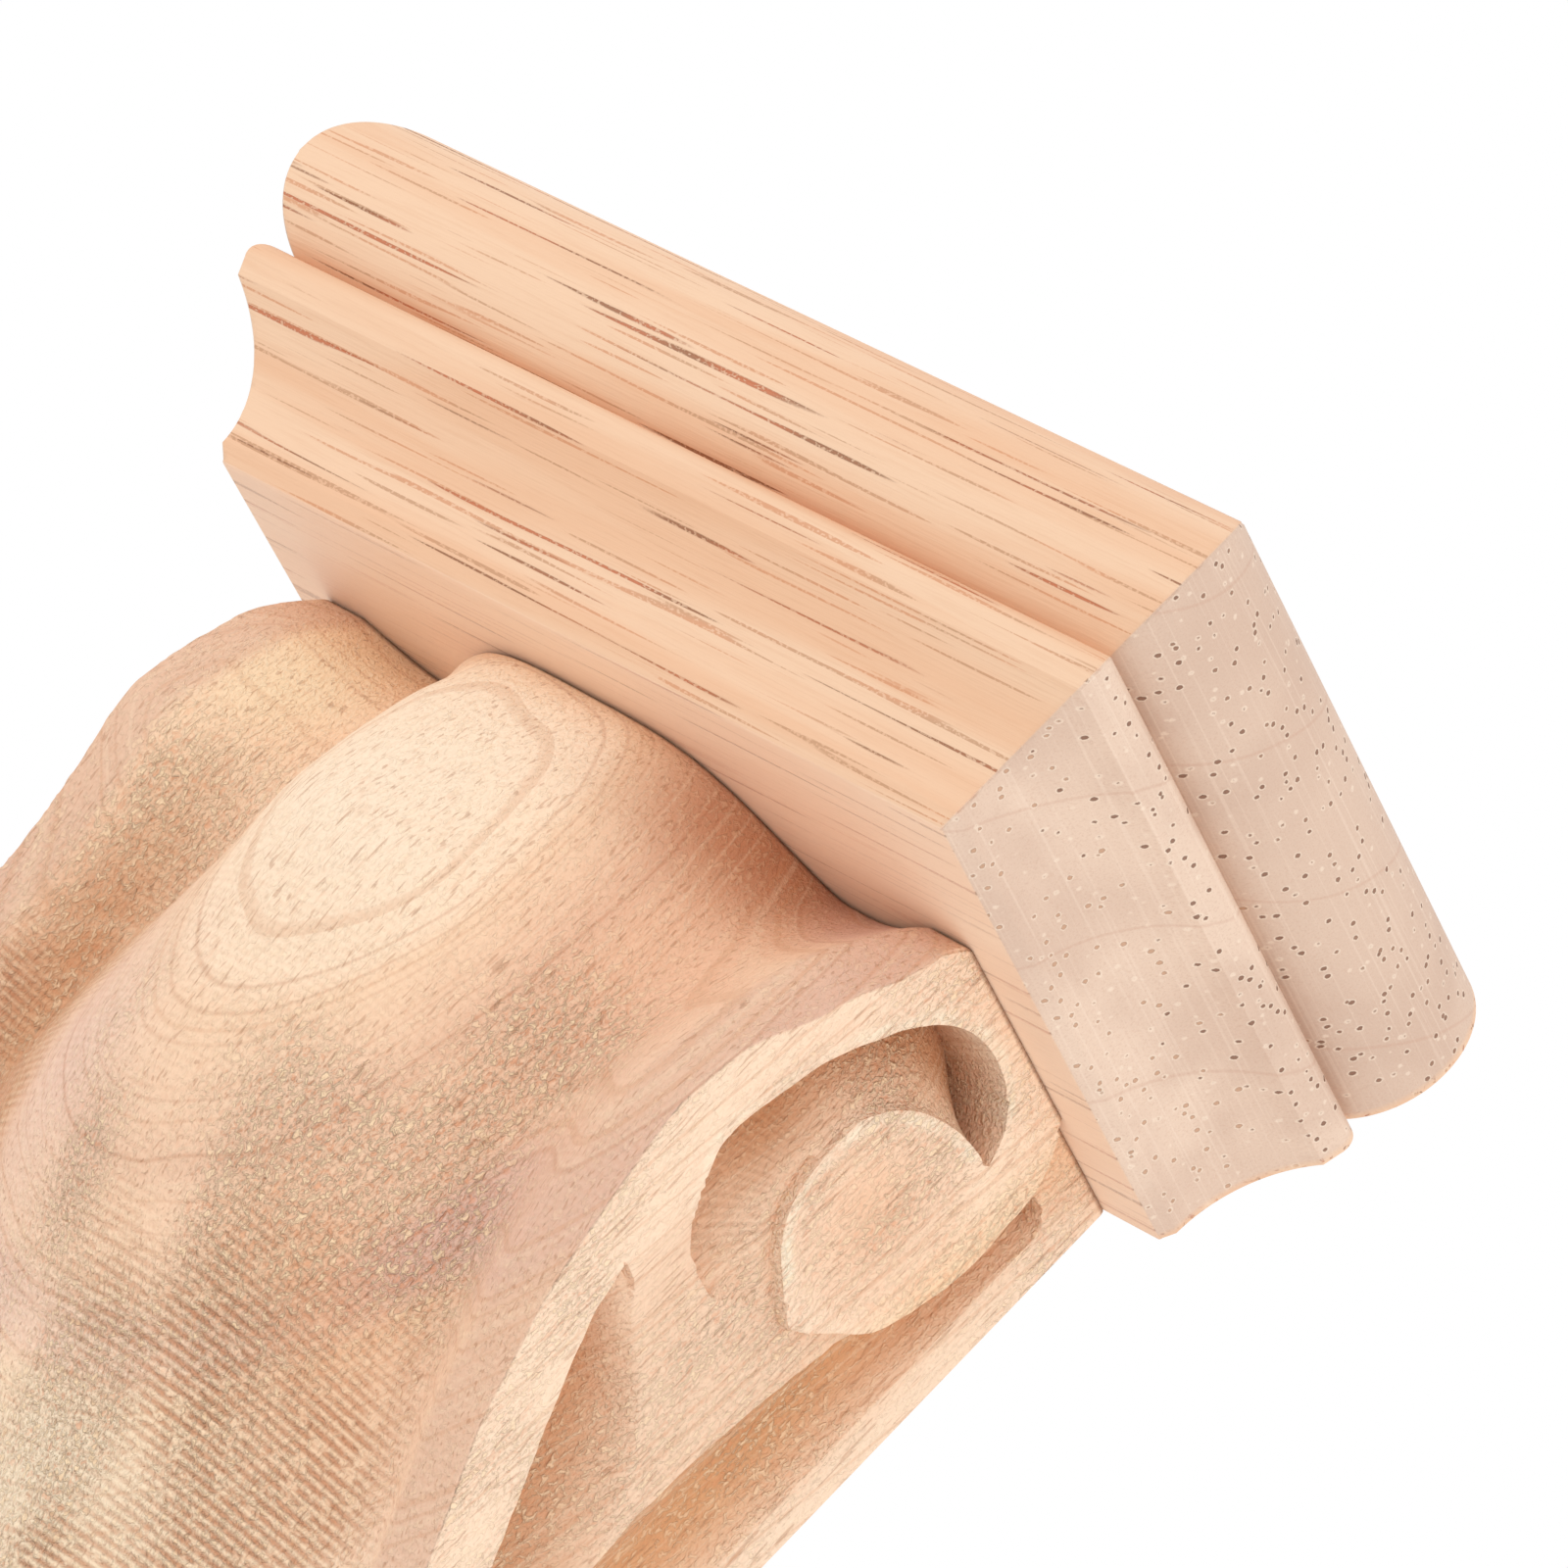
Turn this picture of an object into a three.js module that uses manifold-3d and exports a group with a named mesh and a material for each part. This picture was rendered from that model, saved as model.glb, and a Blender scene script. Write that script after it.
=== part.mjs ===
// A carved wooden corbel: a moulded cap glued on an S-scroll bracket body.
// Millimetres. +Z is up and -Y faces the room. The back lies on the wall plane, Y = 0.
// The origin is the middle of the back face, where the corbel is fixed to the wall.
import * as THREE from 'three';
import { mergeVertices } from 'three/addons/utils/BufferGeometryUtils.js';
import Module from 'manifold-3d';

// Driving dimensions of the cap
const capWidth = 60;
const capDepth = 33;
const capHeight = 18.5;
const bullnoseRadius = 4.95;
const bullnoseReach = 0.45;
const coveRadius = 7.7;
const coveFoot = 0.4;
const coveSweep = 57;
const lipOut = 4.25;
const lipHeight = 7.4;
const ledgeHeight = 9;
const ledgeOut = 3.05;

// Driving dimensions of the body
const bodyHeight = 81.5;
const bodyWidth = 43.4;
const bodyDepth = 24.3;
const stripWidth = 2.5;
const hollowCut = 2.2;
const tongueHalf = 13.8;
const tongueRise = 4.4;
const tongueLeft = 0.9;
const noseFall = 0.9;
const neckCut = 2.2;
const crispTo = 18;
const rollRadius = 6.2;
const rollOut = 8.9;
const rollPanelCut = 0.8;
const panelEase = 1.6;
const panelFade = 3;

// The scroll is carved a little askew: on the left it turns over higher up than on the right
const leftStart = 1.5;
const leftGain = 0.33;
const skewFrom = 14;
const skewTo = 28;
const shoulderFall = 1.1;
const shoulderBy = 4;
const shoulderTo = 7;
const shoulderFade = 5;

// How the relief of the front changes on the way down, in mm or as shares of the scroll's height
const noseBy = 5;
const noseTo = 9;
const noseFade = 9;
const neckBy = 3;
const neckTo = 11;
const neckFade = 10;
const fadeFrom = 0.42;
const fadeOver = 0.5;
const valleySpread = 3.2;
const leastHollow = 1.5;
const topHollowShare = 0.55;

// Depths of the carving on the two sides, measured in from the scroll band's face
const fieldCut = 0.7;
const voluteCut = 3.9;
const lowerVoluteCut = 2.2;
const dartCut = 3.4;
const troughCut = 2.7;
const grooveCut = 2.4;
const backStrip = 2.1;
const eyeRimCut = 0.3;
const valleyShare = 0.22;
const coveEase = 0.75;
const coveFlat = 0.86;

// Where the carving on the sides starts and ends, below the joint
const grooveFrom = 2.6;
const ledgeBelow = 21;
const dartFrom = 21.7;
const dartTo = 34;
const troughFrom = 33.2;
const troughTo = 62;
const groundTo = 66;
const runOut = 9;

// Fineness of the facets
const frontSteps = 28;
const bodySteps = 40;
const rollSteps = 9;
const voluteSteps = 26;
const arcSteps = 12;
const rimSteps = 30;
const underSteps = 8;
const grooveSteps = 18;
const troughSteps = 14;
const dartStep = 1.2;
const groundStep = 3;

// The scroll was drawn on a body of this height and depth, and stretches with the body
const drawnHeight = 81.5;
const drawnDepth = 24.3;
const tall = bodyHeight / drawnHeight;
const deep = bodyDepth / drawnDepth;

// Heights of the main planes
const topZ = (capHeight + bodyHeight) / 2;
const jointZ = topZ - capHeight;
const halfBody = bodyWidth / 2;
const clearOfSide = halfBody + 4;
const capOverhang = bullnoseRadius + bullnoseReach;
const wasm = await Module();
wasm.setup();

// Scroll band, seen from the side: [distance below the joint, distance out from the wall]
const bandFront = [
  [0, 18.2], [1.6, 19.75], [5.9, 22.4], [9, 23.3], [12, 23.95], [15.5, 24.3], [20, 23.4],
  [24.8, 22.1], [28.2, 20.6], [30.6, 19.45], [33.7, 17.3], [37, 15.2], [43, 12.4],
  [50, 10.6], [58, 10.0], [70, 10.9],
];
const bandBack = [
  [21, 19.9], [23.8, 18.95], [27.8, 16.6], [31.8, 13.9], [37, 10.6],
  [43, 7.9], [50, 5.9], [57, 4.8], [66, 3.4],
];
// The leaf-shaped field under the volute: its edge on the dart and its edge on the back groove
const fieldFront = [
  [21, 19.2], [22.3, 15.5], [23.8, 12.4], [25.6, 10.1], [27.6, 8.5], [29, 7.6], [34, 6.6],
];
const fieldBack = [
  [2.6, 4.5], [9.4, 4.6], [11.3, 5.2], [12.9, 6.0], [17.6, 7.0], [23.5, 7.7], [29, 7.6], [34, 6.6],
];

// Upper volute: centre, and radii against the angle from the wall direction, turning upwards
const voluteCentre = [9.4, 10.85];
const channelOuter = [
  [62, 5.9], [75, 7.0], [97, 7.9], [120, 8.35], [154, 8.25], [172, 8.75], [190, 9.6],
  [207, 11.1], [217, 11.2], [232, 10.7], [251, 9.3], [264, 8.0], [276, 7.0],
];
const eyeEdge = [
  [62, 5.7], [85, 4.9], [108, 4.45], [141, 4.45], [169, 4.75], [191, 4.9],
  [212, 5.5], [226, 5.9], [244, 6.05], [258, 6.2], [276, 6.8],
];
const voluteBack = [
  [276, 7.0], [302, 6.0], [324, 6.0], [341, 5.9], [362, 6.2], [382, 7.05],
  [396, 7.9], [411, 9.3], [427, 10.3],
];
// How much of the full depth the volute's channel has at each angle
const channelDepth = [[62, 1], [150, 1], [190, 0.85], [217, 0.65], [251, 0.4], [276, 0.2]];
const channelStart = 62;
const channelEnd = 282;
const rimStart = 276;
const rimEnd = 427;
const underStart = 270;
const underEnd = 212;
const underShare = 0.55;
const lowerScale = 0.53;

// Smooth curve through a table's points, with each slope taken from the neighbours
function along(table, at) {
  const last = table.length - 1;
  let i = 0;
  while (i < last - 1 && at > table[i + 1][0]) i += 1;
  const slope = (k) => {
    const a = table[Math.max(k - 1, 0)];
    const b = table[Math.min(k + 1, last)];
    return (b[1] - a[1]) / (b[0] - a[0]);
  };
  const span = table[i + 1][0] - table[i][0];
  const t = Math.min(Math.max((at - table[i][0]) / span, 0), 1);
  const [t2, t3] = [t * t, t * t * t];
  return (2 * t3 - 3 * t2 + 1) * table[i][1] + (t3 - 2 * t2 + t) * span * slope(i)
    + (3 * t2 - 2 * t3) * table[i + 1][1] + (t3 - t2) * span * slope(i + 1);
}

const mix = (a, b, t) => a + (b - a) * t;
const clamp01 = (t) => Math.min(Math.max(t, 0), 1);
const smooth = (t) => clamp01(t) ** 2 * (3 - 2 * clamp01(t));

// A closed solid through a row of loops, each with the same number of points
function loft(loops) {
  const count = loops[0].length;
  const faces = [];
  for (let j = 0; j + 1 < loops.length; j += 1) {
    for (let i = 0; i < count; i += 1) {
      const a = j * count + i;
      const b = j * count + ((i + 1) % count);
      faces.push(a, b, a + count, b, b + count, a + count);
    }
  }
  const base = (loops.length - 1) * count;
  endFaces(loops[0]).forEach(([a, b, c]) => faces.push(a, c, b));
  endFaces(loops[loops.length - 1]).forEach(([a, b, c]) => faces.push(base + a, base + b, base + c));
  const geometry = new THREE.BufferGeometry();
  geometry.setAttribute('position', new THREE.Float32BufferAttribute(loops.flat(2), 3));
  geometry.setIndex(faces);
  return facingOut(geometry);
}

// Triangles that fill a flat loop, wound the same way as the loop
function endFaces(loop) {
  const spread = [0, 1, 2].map((axis) => {
    const values = loop.map((p) => p[axis]);
    return Math.max(...values) - Math.min(...values);
  });
  const thin = spread.indexOf(Math.min(...spread));
  const [u, v] = [0, 1, 2].filter((axis) => axis !== thin);
  const outline = loop.map((p) => new THREE.Vector2(p[u], p[v]));
  const triangles = THREE.ShapeUtils.triangulateShape(outline, []);
  return THREE.ShapeUtils.isClockWise(outline) ? triangles.map(([a, b, c]) => [a, c, b]) : triangles;
}

function facingOut(geometry) {
  const p = geometry.attributes.position;
  const index = Array.from(geometry.index.array);
  const corner = [0, 1, 2].map(() => new THREE.Vector3());
  let volume = 0;
  for (let f = 0; f < index.length; f += 3) {
    corner.forEach((v, k) => v.fromBufferAttribute(p, index[f + k]));
    volume += corner[0].dot(corner[1].clone().cross(corner[2]));
  }
  if (volume < 0) {
    for (let f = 0; f < index.length; f += 3) [index[f], index[f + 1]] = [index[f + 1], index[f]];
    geometry.setIndex(index);
  }
  return geometry;
}

function toSolid(geometry) {
  const bare = geometry.clone();
  bare.deleteAttribute('normal');
  bare.deleteAttribute('uv');
  const merged = mergeVertices(bare, 1e-5);
  return new wasm.Manifold(new wasm.Mesh({
    numProp: 3,
    vertProperties: new Float32Array(merged.attributes.position.array),
    triVerts: new Uint32Array(merged.index.array),
  }));
}

function toGeometry(solid) {
  const mesh = solid.getMesh();
  const geometry = new THREE.BufferGeometry();
  geometry.setAttribute('position', new THREE.BufferAttribute(mesh.vertProperties, 3));
  geometry.setIndex(new THREE.BufferAttribute(mesh.triVerts, 1));
  geometry.computeVertexNormals();
  return geometry;
}

// Cap: the moulding profile as [out from the bottom arris, height], swept round front and sides
function capProfile() {
  const points = [[0, 0]];
  const coveOut = coveRadius + coveFoot;
  for (let i = 0; i <= arcSteps; i += 1) {
    const angle = THREE.MathUtils.degToRad((coveSweep * i) / arcSteps);
    points.push([coveOut - coveRadius * Math.cos(angle), coveFoot + coveRadius * Math.sin(angle)]);
  }
  const lipRound = (ledgeHeight - lipHeight) / 3;
  points.push([lipOut, lipHeight], [lipOut, lipHeight + lipRound]);
  points.push([mix(lipOut, ledgeOut, 0.35), ledgeHeight - lipRound], [ledgeOut, ledgeHeight]);
  const centreZ = capHeight - bullnoseRadius;
  const start = Math.asin((ledgeHeight + 0.25 - centreZ) / bullnoseRadius);
  for (let i = 0; i <= arcSteps; i += 1) {
    const angle = mix(start, Math.PI / 2, i / arcSteps);
    const [outward, upward] = [bullnoseRadius * Math.cos(angle), bullnoseRadius * Math.sin(angle)];
    points.push([bullnoseReach + outward, centreZ + upward]);
  }
  return points;
}

function capGeometry() {
  const halfWidth = capWidth / 2 - capOverhang;
  const depth = capDepth - capOverhang;
  const loops = capProfile().map(([out, height]) => {
    const z = jointZ + height;
    return [
      [halfWidth + out, 0, z], [-halfWidth - out, 0, z],
      [-halfWidth - out, -depth - out, z], [halfWidth + out, -depth - out, z],
    ];
  });
  return loft(loops);
}

// Front of the body: how far the wood stands out from the wall
const rollCentre = drawnHeight - rollRadius;
const rollFront = (w) => rollOut + Math.sqrt(Math.max(rollRadius ** 2 - (w - rollCentre) ** 2, 0));

function creaseBelow() {
  let [low, high] = [rollCentre - rollRadius, rollCentre];
  for (let i = 0; i < 40; i += 1) {
    const mid = (low + high) / 2;
    if (rollFront(mid) < along(bandFront, mid)) low = mid;
    else high = mid;
  }
  return high;
}
const crease = creaseBelow();

// The band's front edge at x: the skew lifts the left, and the right arris is soft near the top
function bandAt(x, w) {
  const leftShare = (halfBody - x) / (2 * halfBody);
  const lift = (leftStart + leftGain * w) * leftShare * (1 - smooth((w - skewFrom) / (skewTo - skewFrom)));
  const soft = smooth(w / shoulderBy) * (1 - smooth((w - shoulderTo) / shoulderFade));
  const atArris = smooth((x - halfBody + stripWidth) / stripWidth);
  return along(bandFront, w + lift) - shoulderFall * soft * atArris;
}

// Across the front: flat strips at the edges, then a hollow, then the crowned tongue
function frontAt(x, w) {
  const stripEdge = halfBody - stripWidth;
  const side = Math.abs(x);
  if (w > crease) {
    const panel = smooth((stripEdge - side) / panelEase) * smooth((rollFront(w) - rollOut) / panelFade);
    return rollFront(w) - rollPanelCut * panel;
  }
  const down = w / crease;
  const fade = 1 - smooth((down - fadeFrom) / fadeOver);
  const fromCrest = Math.abs(x + tongueLeft * (1 - smooth(down / fadeOver)));
  const neck = smooth(w / neckBy) * (1 - smooth((w - neckTo) / neckFade)) * smooth((2 - x) / 6);
  const widest = Math.min(tongueHalf + valleySpread * smooth((down - 0.2) / 0.4), stripEdge - leastHollow);
  const valley = widest - neckCut * neck;
  const cut = hollowCut * mix(1 - topHollowShare, 1, fade);
  const band = bandAt(x, w);
  if (fromCrest >= valley) {
    const share = clamp01((stripEdge - side) / (stripEdge - valley));
    return band - cut * mix(Math.sin(share * Math.PI / 2), smooth(share), smooth(w / crispTo));
  }
  const lower = smooth(down / 0.35);
  const crown = (1 - (fromCrest / valley) ** mix(4, 2.4, lower)) ** mix(2.2, 1.3, lower);
  const rise = tongueRise - noseFall * smooth(w / noseBy) * (1 - smooth((w - noseTo) / noseFade));
  return band - cut + (cut + rise) * crown * mix(0.3, 1, fade);
}

function bodyBlock() {
  const levels = [];
  for (let i = 0; i <= bodySteps; i += 1) levels.push(crease * (i / bodySteps) ** 1.25);
  for (let i = 1; i <= rollSteps; i += 1) {
    const start = Math.asin((crease - rollCentre) / rollRadius);
    levels.push(rollCentre + rollRadius * Math.sin(mix(start, Math.PI / 2, i / rollSteps)));
  }
  const loops = levels.map((w) => {
    const z = jointZ - w * tall;
    const loop = [];
    for (let i = 0; i <= frontSteps; i += 1) {
      const x = halfBody * Math.sin(((i / frontSteps) * 2 - 1) * Math.PI * 0.5) * 0.35
        + halfBody * ((i / frontSteps) * 2 - 1) * 0.65;
      loop.push([x, -frontAt(x, w) * deep, z]);
    }
    loop.push([halfBody, 0, z], [-halfBody, 0, z]);
    return loop;
  });
  return toSolid(loft(loops));
}

// Side cutters: each section is a list of [below the joint, out from the wall, cut depth]
function sideCutter(sections, side) {
  const loops = sections.map((section) => section.map(([w, u, cut]) => [
    side * (halfBody - cut), -u * deep, jointZ - w * tall,
  ]));
  return toSolid(loft(loops));
}

const above = halfBody - clearOfSide;

function channelSections(centre, turn, scale, fullCut) {
  const sections = [];
  for (let i = 0; i <= voluteSteps; i += 1) {
    const degrees = mix(channelStart, channelEnd, i / voluteSteps);
    const angle = THREE.MathUtils.degToRad(degrees + turn);
    const [down, outward] = [scale * Math.sin(angle), scale * Math.cos(angle)];
    const at = (r, cut) => [centre[0] - r * down, centre[1] - r * outward, cut];
    const outer = along(channelOuter, degrees);
    const eye = Math.min(along(eyeEdge, degrees), outer - 0.2);
    const floor = fullCut * along(channelDepth, degrees);
    sections.push([at(eye, above), at(outer, above), at(outer, floor), at(eye, eyeRimCut)]);
  }
  return sections;
}

// The ground behind the scroll band, sunk by fieldCut round the volute's back and under it
function groundSections() {
  const rim = [];
  for (let i = 0; i <= rimSteps; i += 1) {
    const degrees = mix(rimEnd, rimStart, i / rimSteps);
    const angle = THREE.MathUtils.degToRad(degrees);
    const r = along(voluteBack, degrees);
    rim.push([voluteCentre[0] - r * Math.sin(angle), voluteCentre[1] - r * Math.cos(angle)]);
  }
  for (let i = 0; i <= underSteps; i += 1) {
    const degrees = mix(underStart, underEnd, i / underSteps);
    const angle = THREE.MathUtils.degToRad(degrees);
    const r = mix(along(eyeEdge, degrees), along(channelOuter, degrees), underShare);
    rim.push([voluteCentre[0] - r * Math.sin(angle), voluteCentre[1] - r * Math.cos(angle)]);
  }
  for (let w = ledgeBelow; w <= groundTo; w += groundStep) rim.push([w, along(bandBack, w)]);
  rim.push([groundTo, -1], [-1, -1], [-1, rim[0][1]]);
  return [above, fieldCut].map((cut) => rim.map(([w, u]) => [w, u, cut]));
}

// The ridge between the dart and the groove sinks as the two run together
const ridgeCut = (w) => mix(fieldCut, troughCut, smooth((w - 29) / 5));

function dartSections() {
  const sections = [];
  for (let w = dartFrom; w <= dartTo; w += dartStep) {
    const [band, field] = [along(bandBack, w), along(fieldFront, w)];
    const deepest = mix(dartCut, troughCut, smooth((w - 27) / 7));
    const floor = mix(fieldCut, deepest, smooth((w - ledgeBelow) / 4));
    const valley = mix(band, field, valleyShare);
    sections.push([
      [w, band, above], [w, field, above], [w, field, ridgeCut(w)],
      [w, valley, floor], [w, band, floor - eyeRimCut],
    ]);
  }
  return sections;
}

function troughSections(rows, outer, ridge, depth) {
  return rows.map((w) => {
    const [from, to, cut] = [outer(w), backStrip, depth(w)];
    return [
      [w, from, above], [w, to, above], [w, to, fieldCut],
      [w, mix(to, from, valleyShare), mix(fieldCut, cut, coveEase)], [w, mix(to, from, 0.5), cut],
      [w, mix(to, from, coveFlat), cut], [w, from, ridge(w)],
    ];
  });
}

// The trough runs out in a slope over its last stretch
const troughDepth = (w) => mix(troughCut, fieldCut, smooth((w - troughTo + runOut) / runOut));

function rowsBetween(first, last, steps) {
  return Array.from({ length: steps + 1 }, (_, i) => mix(first, last, i / steps));
}

function sideCutters(side) {
  const lowerCentre = [rollCentre, rollOut - 0.5];
  const groove = rowsBetween(grooveFrom, dartTo, grooveSteps);
  const trough = rowsBetween(troughFrom, troughTo - 1, troughSteps);
  return [
    sideCutter(channelSections(voluteCentre, 0, 1, voluteCut), side),
    sideCutter(channelSections(lowerCentre, 180, lowerScale, lowerVoluteCut), side),
    sideCutter(groundSections(), side),
    sideCutter(dartSections(), side),
    sideCutter(troughSections(groove, (w) => along(fieldBack, w), ridgeCut, () => grooveCut), side),
    sideCutter(troughSections(trough, (w) => along(bandBack, w), troughDepth, troughDepth), side),
  ];
}

function bodyGeometry() {
  let body = bodyBlock();
  [1, -1].forEach((side) => {
    sideCutters(side).forEach((cutter) => {
      body = body.subtract(cutter);
    });
  });
  return toGeometry(body.asOriginal().simplify(0.02));
}

const rawWood = new THREE.MeshStandardMaterial({ color: 0xe3bd97, roughness: 0.75, metalness: 0 });
const endWood = new THREE.MeshStandardMaterial({ color: 0xdfb898, roughness: 0.8, metalness: 0 });

const corbel = new THREE.Group();
const cap = new THREE.Mesh(capGeometry(), rawWood);
cap.name = 'moulded_cap';
const body = new THREE.Mesh(bodyGeometry(), endWood);
body.name = 'scroll_body';
corbel.add(cap, body);

export default corbel;
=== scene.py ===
# %% [markdown]
# # A carved wooden corbel
# A small corbel of raw rubberwood: a moulded cap, with its grain running across, glued on an
# S-scroll body whose grain stands upright. The solid model of both pieces is loaded first. It is
# the frame that every surface below is fitted to, so all sizes here are in its millimetres.

# %% Load the frame
import bpy
import numpy as np
from mathutils import Matrix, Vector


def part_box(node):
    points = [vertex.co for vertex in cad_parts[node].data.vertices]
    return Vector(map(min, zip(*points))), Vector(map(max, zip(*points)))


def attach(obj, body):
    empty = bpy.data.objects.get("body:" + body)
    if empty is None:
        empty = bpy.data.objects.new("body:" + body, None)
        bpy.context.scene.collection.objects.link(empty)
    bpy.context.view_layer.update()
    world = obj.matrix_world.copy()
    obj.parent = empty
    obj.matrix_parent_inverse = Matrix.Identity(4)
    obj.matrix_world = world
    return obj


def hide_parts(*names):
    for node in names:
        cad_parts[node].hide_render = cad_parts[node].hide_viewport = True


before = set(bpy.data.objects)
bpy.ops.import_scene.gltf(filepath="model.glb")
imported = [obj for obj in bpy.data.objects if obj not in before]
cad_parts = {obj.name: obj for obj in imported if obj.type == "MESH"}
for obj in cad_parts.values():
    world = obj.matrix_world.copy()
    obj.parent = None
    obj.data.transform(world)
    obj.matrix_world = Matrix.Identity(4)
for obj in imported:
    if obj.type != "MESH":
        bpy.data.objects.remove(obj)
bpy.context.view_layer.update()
MM = 0.001
CAP_LOW, CAP_HIGH = (np.array(corner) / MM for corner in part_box("moulded_cap"))
BODY_LOW, BODY_HIGH = (np.array(corner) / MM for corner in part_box("scroll_body"))
JOINT_Z = CAP_LOW[2]
BODY_TALL = BODY_HIGH[2] - BODY_LOW[2]
HALF_BODY = BODY_HIGH[0]
print("cap", CAP_LOW.round(2), CAP_HIGH.round(2), "body", BODY_LOW.round(2), BODY_HIGH.round(2))

# %% [markdown]
# ## Smooth curves and smooth noise
# A carver's pattern is a few points joined by fair curves. `along` does the same for a short
# table, for a whole array of places at once. The small unevenness of real wood comes from value
# noise: random numbers on a lattice, blended smoothly between the lattice points. The lattice is
# filled from a seeded generator, so the wood is the same in each run.


# %% Curve helpers
def mix(a, b, t):
    """a at t = 0 and b at t = 1, in a straight line between."""
    return a + (b - a) * t


def smooth(t):
    """0 up to t = 0, 1 from t = 1, and three t squared less two t cubed between."""
    t = np.clip(t, 0.0, 1.0)
    return t * t * (3.0 - 2.0 * t)


def swell(w, by, to, fade):
    """0 at w = 0, up to 1 at by, still 1 at to, and smoothly back to 0 over fade more."""
    return smooth(w / by) * (1.0 - smooth((w - to) / fade))


def along(table, at):
    """The value at each place, on cubics through the (place, value) rows.

    The slope at a row is the slope of the line between its two neighbours.
    """
    places, values = np.array(table, float).T
    last = len(places) - 1
    before = np.maximum(np.arange(last + 1) - 1, 0)
    after = np.minimum(np.arange(last + 1) + 1, last)
    slopes = (values[after] - values[before]) / (places[after] - places[before])
    i = np.clip(np.searchsorted(places, at) - 1, 0, last - 1)
    span = places[i + 1] - places[i]
    t = np.clip((at - places[i]) / span, 0.0, 1.0)
    rise = (2 * t**3 - 3 * t**2 + 1) * values[i] + (3 * t**2 - 2 * t**3) * values[i + 1]
    return rise + span * ((t**3 - 2 * t**2 + t) * slopes[i] + (t**3 - t**2) * slopes[i + 1])


print("halfway up a swell of 4 mm", swell(2.0, 4.0, 7.0, 5.0))

# %% Noise helpers
SEED = 7
LATTICE_SIDE = 64
RANDOM = np.random.default_rng(SEED)
LATTICE = RANDOM.uniform(-1.0, 1.0, (LATTICE_SIDE, LATTICE_SIDE, LATTICE_SIDE))


def noise(x, y, z):
    """Lattice values at the eight corners round (x, y, z), blended by smooth() along each axis."""
    base = [np.floor(c).astype(int) for c in (x, y, z)]
    part = [smooth(c - b) for c, b in zip((x, y, z), base)]
    total = 0.0
    for corner in range(8):
        step = [(corner >> k) & 1 for k in range(3)]
        weight = 1.0
        for k in range(3):
            weight = weight * (part[k] if step[k] else 1.0 - part[k])
        total = total + weight * LATTICE[tuple((base[k] + step[k]) % LATTICE_SIDE for k in range(3))]
    return total


def grain(a, b, per_a, per_b, layer, shift=0.0):
    """Noise on a flat sheet, per_a and per_b cells to the millimetre, in its own lattice layer."""
    return noise(a * per_a + shift, b * per_b, a * 0 + layer)


print("noise at three places", noise(np.array([0.5, 3.2, 9.9]), np.zeros(3), np.zeros(3)).round(3))

# %% [markdown]
# ## The carver's pattern
# These are the tables that the solid body was cut from, so the finer surface lies on the same
# lines. The front is drawn from the side, as distance out from the wall against distance below
# the joint. The volute is drawn round its own centre, as a radius against an angle that starts
# towards the wall and turns upwards.

# %% The front's outline from the side, in millimetres
DRAWN_TALL = 81.5
ROLL_RADIUS = 6.2
ROLL_OUT = 8.9
ROLL_AT = DRAWN_TALL - ROLL_RADIUS
BAND_FRONT = [
    (0, 18.2), (1.6, 19.75), (5.9, 22.4), (9, 23.3), (12, 23.95), (15.5, 24.3), (20, 23.4),
    (24.8, 22.1), (28.2, 20.6), (30.6, 19.45), (33.7, 17.3), (37, 15.2), (43, 12.4),
    (50, 10.6), (58, 10.0), (70, 10.9),
]


def roll_front(w):
    """Out from the wall on the lower roll: the roll's centre plus the half chord of its circle."""
    return ROLL_OUT + np.sqrt(np.maximum(ROLL_RADIUS**2 - (w - ROLL_AT) ** 2, 0.0))


levels = np.linspace(ROLL_AT - ROLL_RADIUS, ROLL_AT, 4001)
CREASE = levels[np.argmax(roll_front(levels) > along(BAND_FRONT, levels))]
print("the scroll meets the lower roll", CREASE.round(2), "mm below the joint")

# %% The side's outlines, in millimetres and degrees
BAND_BACK = [
    (21, 19.9), (23.8, 18.95), (27.8, 16.6), (31.8, 13.9), (37, 10.6),
    (43, 7.9), (50, 5.9), (57, 4.8), (66, 3.4),
]
FIELD_FRONT = [(21, 19.2), (22.3, 15.5), (23.8, 12.4), (25.6, 10.1), (27.6, 8.5), (29, 7.6), (34, 6.6)]
FIELD_BACK = [
    (2.6, 4.5), (9.4, 4.6), (11.3, 5.2), (12.9, 6.0), (17.6, 7.0), (23.5, 7.7), (29, 7.6), (34, 6.6),
]
VOLUTE_BELOW, VOLUTE_OUT = VOLUTE_AT = (9.4, 10.85)
CHANNEL_OUTER = [
    (62, 5.9), (75, 7.0), (97, 7.9), (120, 8.35), (154, 8.25), (172, 8.75), (190, 9.6),
    (207, 11.1), (217, 11.2), (232, 10.7), (251, 9.3), (264, 8.0), (276, 7.0),
]
EYE_EDGE = [
    (62, 5.7), (85, 4.9), (108, 4.45), (141, 4.45), (169, 4.75), (191, 4.9),
    (212, 5.5), (226, 5.9), (244, 6.05), (258, 6.2), (276, 6.8),
]
VOLUTE_BACK = [
    (276, 7.0), (302, 6.0), (324, 6.0), (341, 5.9), (362, 6.2), (382, 7.05),
    (396, 7.9), (411, 9.3), (427, 10.3),
]
CHANNEL_DEPTH = [(62, 1), (150, 1), (190, 0.85), (217, 0.65), (251, 0.4), (276, 0.2)]
LOWER_SCALE = 0.53
LOWER_TURN = 180.0
LOWER_AT = (ROLL_AT, ROLL_OUT - 0.5)
print("the volute's centre lies", VOLUTE_BELOW, "mm below the joint and", VOLUTE_OUT, "mm out")

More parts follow.
